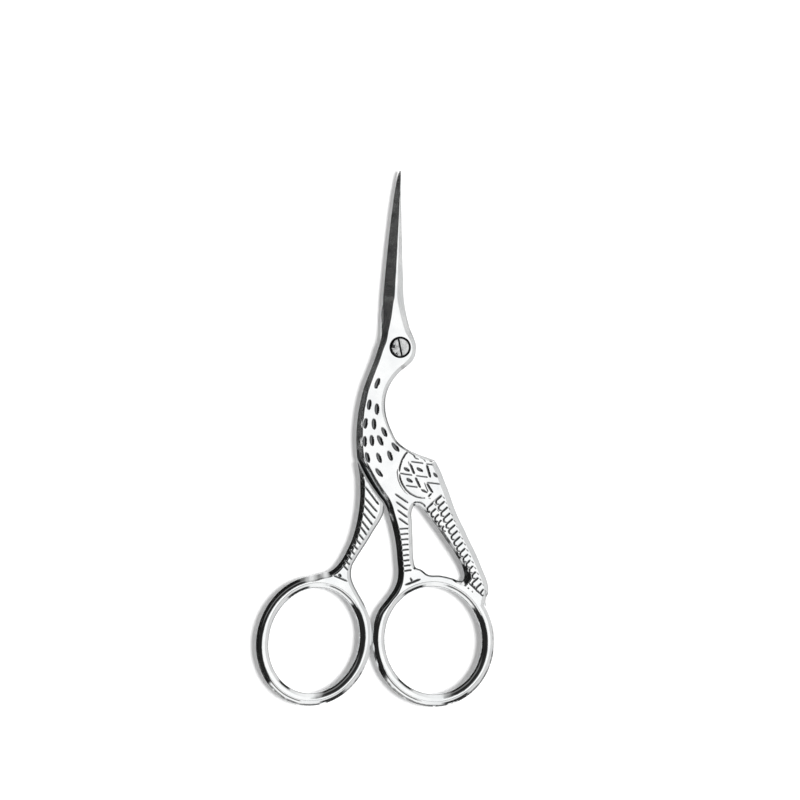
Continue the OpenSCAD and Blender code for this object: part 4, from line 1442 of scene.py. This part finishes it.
def light_tent(studio):
    """The light tent that the steel mirrors, drawn by direction alone; the rest sees it plain."""
    world = bpy.data.worlds.new("Light tent")
    world.use_nodes = True
    tree = world.node_tree
    tree.nodes.clear()
    way = add(tree, "ShaderNodeTexCoord").outputs["Generated"]
    x, y, z = add(tree, "ShaderNodeSeparateXYZ", {0: way}).outputs
    flat = add(tree, "ShaderNodeCombineXYZ", {0: x, 1: y})
    unit = add(tree, "ShaderNodeVectorMath", {0: flat}, operation="NORMALIZE")
    unit_x, unit_y, _ = add(tree, "ShaderNodeSeparateXYZ", {0: unit}).outputs
    # the lamp's white cloth, overhead and to the right, with the dim gap round it
    off = add(tree, "ShaderNodeVectorMath", {0: flat, 1: CLOTH}, operation="SUBTRACT")
    far = add(tree, "ShaderNodeVectorMath", {0: off}, operation="LENGTH").outputs["Value"]
    right = add(tree, "ShaderNodeMapRange", {
        "Value": unit_x, "From Min": 0.0, "From Max": 0.6, "To Min": 0.94, "To Max": 0.68})
    gap = add(tree, "ShaderNodeValToRGB", {"Fac": far}, stops=[
        (0.41, 1), (0.44, 0.25), (0.49, 0.25), (0.52, 1)])
    front = add(tree, "ShaderNodeMapRange", {"Value": unit_y, "From Min": -0.35, "From Max": -0.8})
    gap = add(tree, "ShaderNodeMix", {0: front, 2: 1.0, 3: gap})
    outside = add(tree, "ShaderNodeMath", {0: far, 1: CLOTH_REACH}, operation="GREATER_THAN")
    wall = add(tree, "ShaderNodeMix", {0: outside, 2: 1.0, 3: right})
    tent = add(tree, "ShaderNodeMath", {0: wall, 1: gap}, operation="MULTIPLY")

    def toward(direction, source, ends):
        """How closely the source points in a direction, from 0 to 1 between the ends."""
        met = add(tree, "ShaderNodeVectorMath", {0: source, 1: direction}, operation="DOT_PRODUCT")
        return add(tree, "ShaderNodeMapRange", {
            "Value": met.outputs["Value"], "From Min": ends[0], "From Max": ends[1]})

    # the dim line all round where the tent meets the table, and the dark things in the tent
    dark = add(tree, "ShaderNodeMapRange", {
        "Value": z, "From Min": 0.11, "From Max": 0.07, "To Min": 0.0, "To Max": 0.85})
    band = add(tree, "ShaderNodeValToRGB", {"Fac": z}, stops=[
        (0.6, 0), (0.66, 0.9), (0.84, 0.9), (0.9, 0)])
    things = [(toward(FOLD, unit, FOLD_EDGE), band)]
    for direction, edge, (top, full) in DARK_THINGS:
        things.append((toward(direction, unit, edge), add(tree, "ShaderNodeMapRange", {
            "Value": z, "From Min": top, "From Max": full})))
    for side, height in things:
        thing = add(tree, "ShaderNodeMath", {0: side, 1: height}, operation="MULTIPLY")
        dark = add(tree, "ShaderNodeMath", {0: dark, 1: thing}, operation="MAXIMUM")
    tent = add(tree, "ShaderNodeMix", {0: dark, 2: tent, 3: 0.03})

    # the dark room at the left, with a dim strip of light in its rear half
    near = toward(ROOM, way, ROOM_EDGE)
    rearward = add(tree, "ShaderNodeMath", {0: y, 1: 0.0}, operation="GREATER_THAN")
    wedge = add(tree, "ShaderNodeMix", {
        0: rearward, 2: toward(ROOM, unit, (0.53, 0.585)), 3: toward(ROOM, unit, (0.4, 0.66))})
    room = add(tree, "ShaderNodeMath", {0: near, 1: wedge}, operation="MULTIPLY")
    depth = add(tree, "ShaderNodeValToRGB", {"Fac": z}, stops=[
        (0, 0.03), (0.12, 0.008), (0.3, 0.012), (0.5, 0.024), (0.8, 0.014), (1, 0.04)])
    strip = add(tree, "ShaderNodeValToRGB", {"Fac": z}, stops=[
        (0.36, 0), (0.47, 0.15), (0.6, 0.15), (0.72, 0)])
    rear = add(tree, "ShaderNodeMapRange", {"Value": y, "From Min": 0.13, "From Max": 0.28})
    glimmer = add(tree, "ShaderNodeMath", {0: strip, 1: rear}, operation="MULTIPLY")
    gloom = add(tree, "ShaderNodeMath", {0: depth, 1: glimmer}, operation="ADD")
    seen = add(tree, "ShaderNodeMix", {0: room, 2: tent, 3: gloom})

    tent = add(tree, "ShaderNodeBackground", {"Color": seen, "Strength": studio.sky_strength})
    fill = add(tree, "ShaderNodeBackground", {
        "Color": (1, 1, 1, 1), "Strength": studio.fill_strength})
    plain = add(tree, "ShaderNodeBackground", {"Color": (1, 1, 1, 1), "Strength": 1.0})
    path = add(tree, "ShaderNodeLightPath")
    pick = add(tree, "ShaderNodeMixShader", {0: path.outputs["Is Diffuse Ray"], 1: tent, 2: fill})
    pick = add(tree, "ShaderNodeMixShader", {0: path.outputs["Is Camera Ray"], 1: pick, 2: plain})
    add(tree, "ShaderNodeOutputWorld", {"Surface": pick})
    return world


class SCISSORS_OT_studio(bpy.types.Operator):
    """Lay the pale floor and set the soft lights and the camera"""

    bl_idname = "scissors.studio"
    bl_label = "Studio"

    def execute(self, context):
        studio = context.scene.scissors_studio
        scene = context.scene
        # a board 6 m wide, a hair under the scissors
        size, z = 3.0, -0.00003
        mesh = bpy.data.meshes.new("floor")
        mesh.from_pydata([(-size, -size, z), (size, -size, z), (size, size, z), (-size, size, z)],
                         [], [(0, 1, 2, 3)])
        linked("floor", mesh)
        mesh.materials.append(white_board(studio))

        # one soft lamp, a little to the right of straight above
        key = bpy.data.lights.new("key", "SUN")
        key.energy = studio.key_strength
        key.angle = math.radians(18)
        lamp = linked("key", key)
        tilt = math.radians(26)
        toward = Vector((math.sin(tilt), 0.06, math.cos(tilt)))
        lamp.rotation_euler = toward.to_track_quat("Z", "Y").to_euler()
        # the tent's cloth is what the steel mirrors, so the bare lamp stays out of it
        lamp.visible_glossy = False
        scene.world = light_tent(studio)

        camera = bpy.data.cameras.new("camera")
        view = linked("camera", camera)
        away = studio.camera_distance
        # the frame is 0.17 m wide at the scissors
        camera.sensor_width = 36
        camera.lens = 36 * away / 0.17
        camera.clip_start, camera.clip_end = 0.01, 20
        view.location = (-0.00004, -0.01118, away + 0.0025)
        scene.camera = view
        scene.view_settings.view_transform = "Standard"
        return {"FINISHED"}


class SCISSORS_PT_panel(bpy.types.Panel):
    """Sizes, finish and studio of the scissors"""

    bl_idname = "SCISSORS_PT_panel"
    bl_label = "Stork scissors"
    bl_space_type = "VIEW_3D"
    bl_region_type = "UI"
    bl_category = "Scissors"

    def draw(self, context):
        scene = context.scene
        for group in (scene.scissors_engraving, scene.scissors_finish, scene.scissors_studio):
            box = self.layout.box()
            box.label(text=group.bl_rna.description)
            for name in group.__annotations__:
                box.prop(group, name)
        for operator in OPERATORS:
            self.layout.operator(operator.bl_idname)


OPERATORS = (SCISSORS_OT_front_half, SCISSORS_OT_back_half, SCISSORS_OT_pivot_screw,
             SCISSORS_OT_studio)
GROUPS = {"scissors_engraving": ScissorsEngraving, "scissors_finish": ScissorsFinish,
          "scissors_studio": ScissorsStudio}


def register():
    for kind in (*GROUPS.values(), *OPERATORS, SCISSORS_PT_panel):
        bpy.utils.register_class(kind)
    for name, kind in GROUPS.items():
        setattr(bpy.types.Scene, name, PointerProperty(type=kind))


def unregister():
    for name in GROUPS:
        delattr(bpy.types.Scene, name)
    for kind in reversed((*GROUPS.values(), *OPERATORS, SCISSORS_PT_panel)):
        bpy.utils.unregister_class(kind)


def main():
    register()
    for operator in OPERATORS:
        group, name = operator.bl_idname.split(".")
        done = getattr(getattr(bpy.ops, group), name)()
        if done != {"FINISHED"}:
            raise RuntimeError(f"{operator.bl_idname} did not finish")


if __name__ == "__main__":
    main()
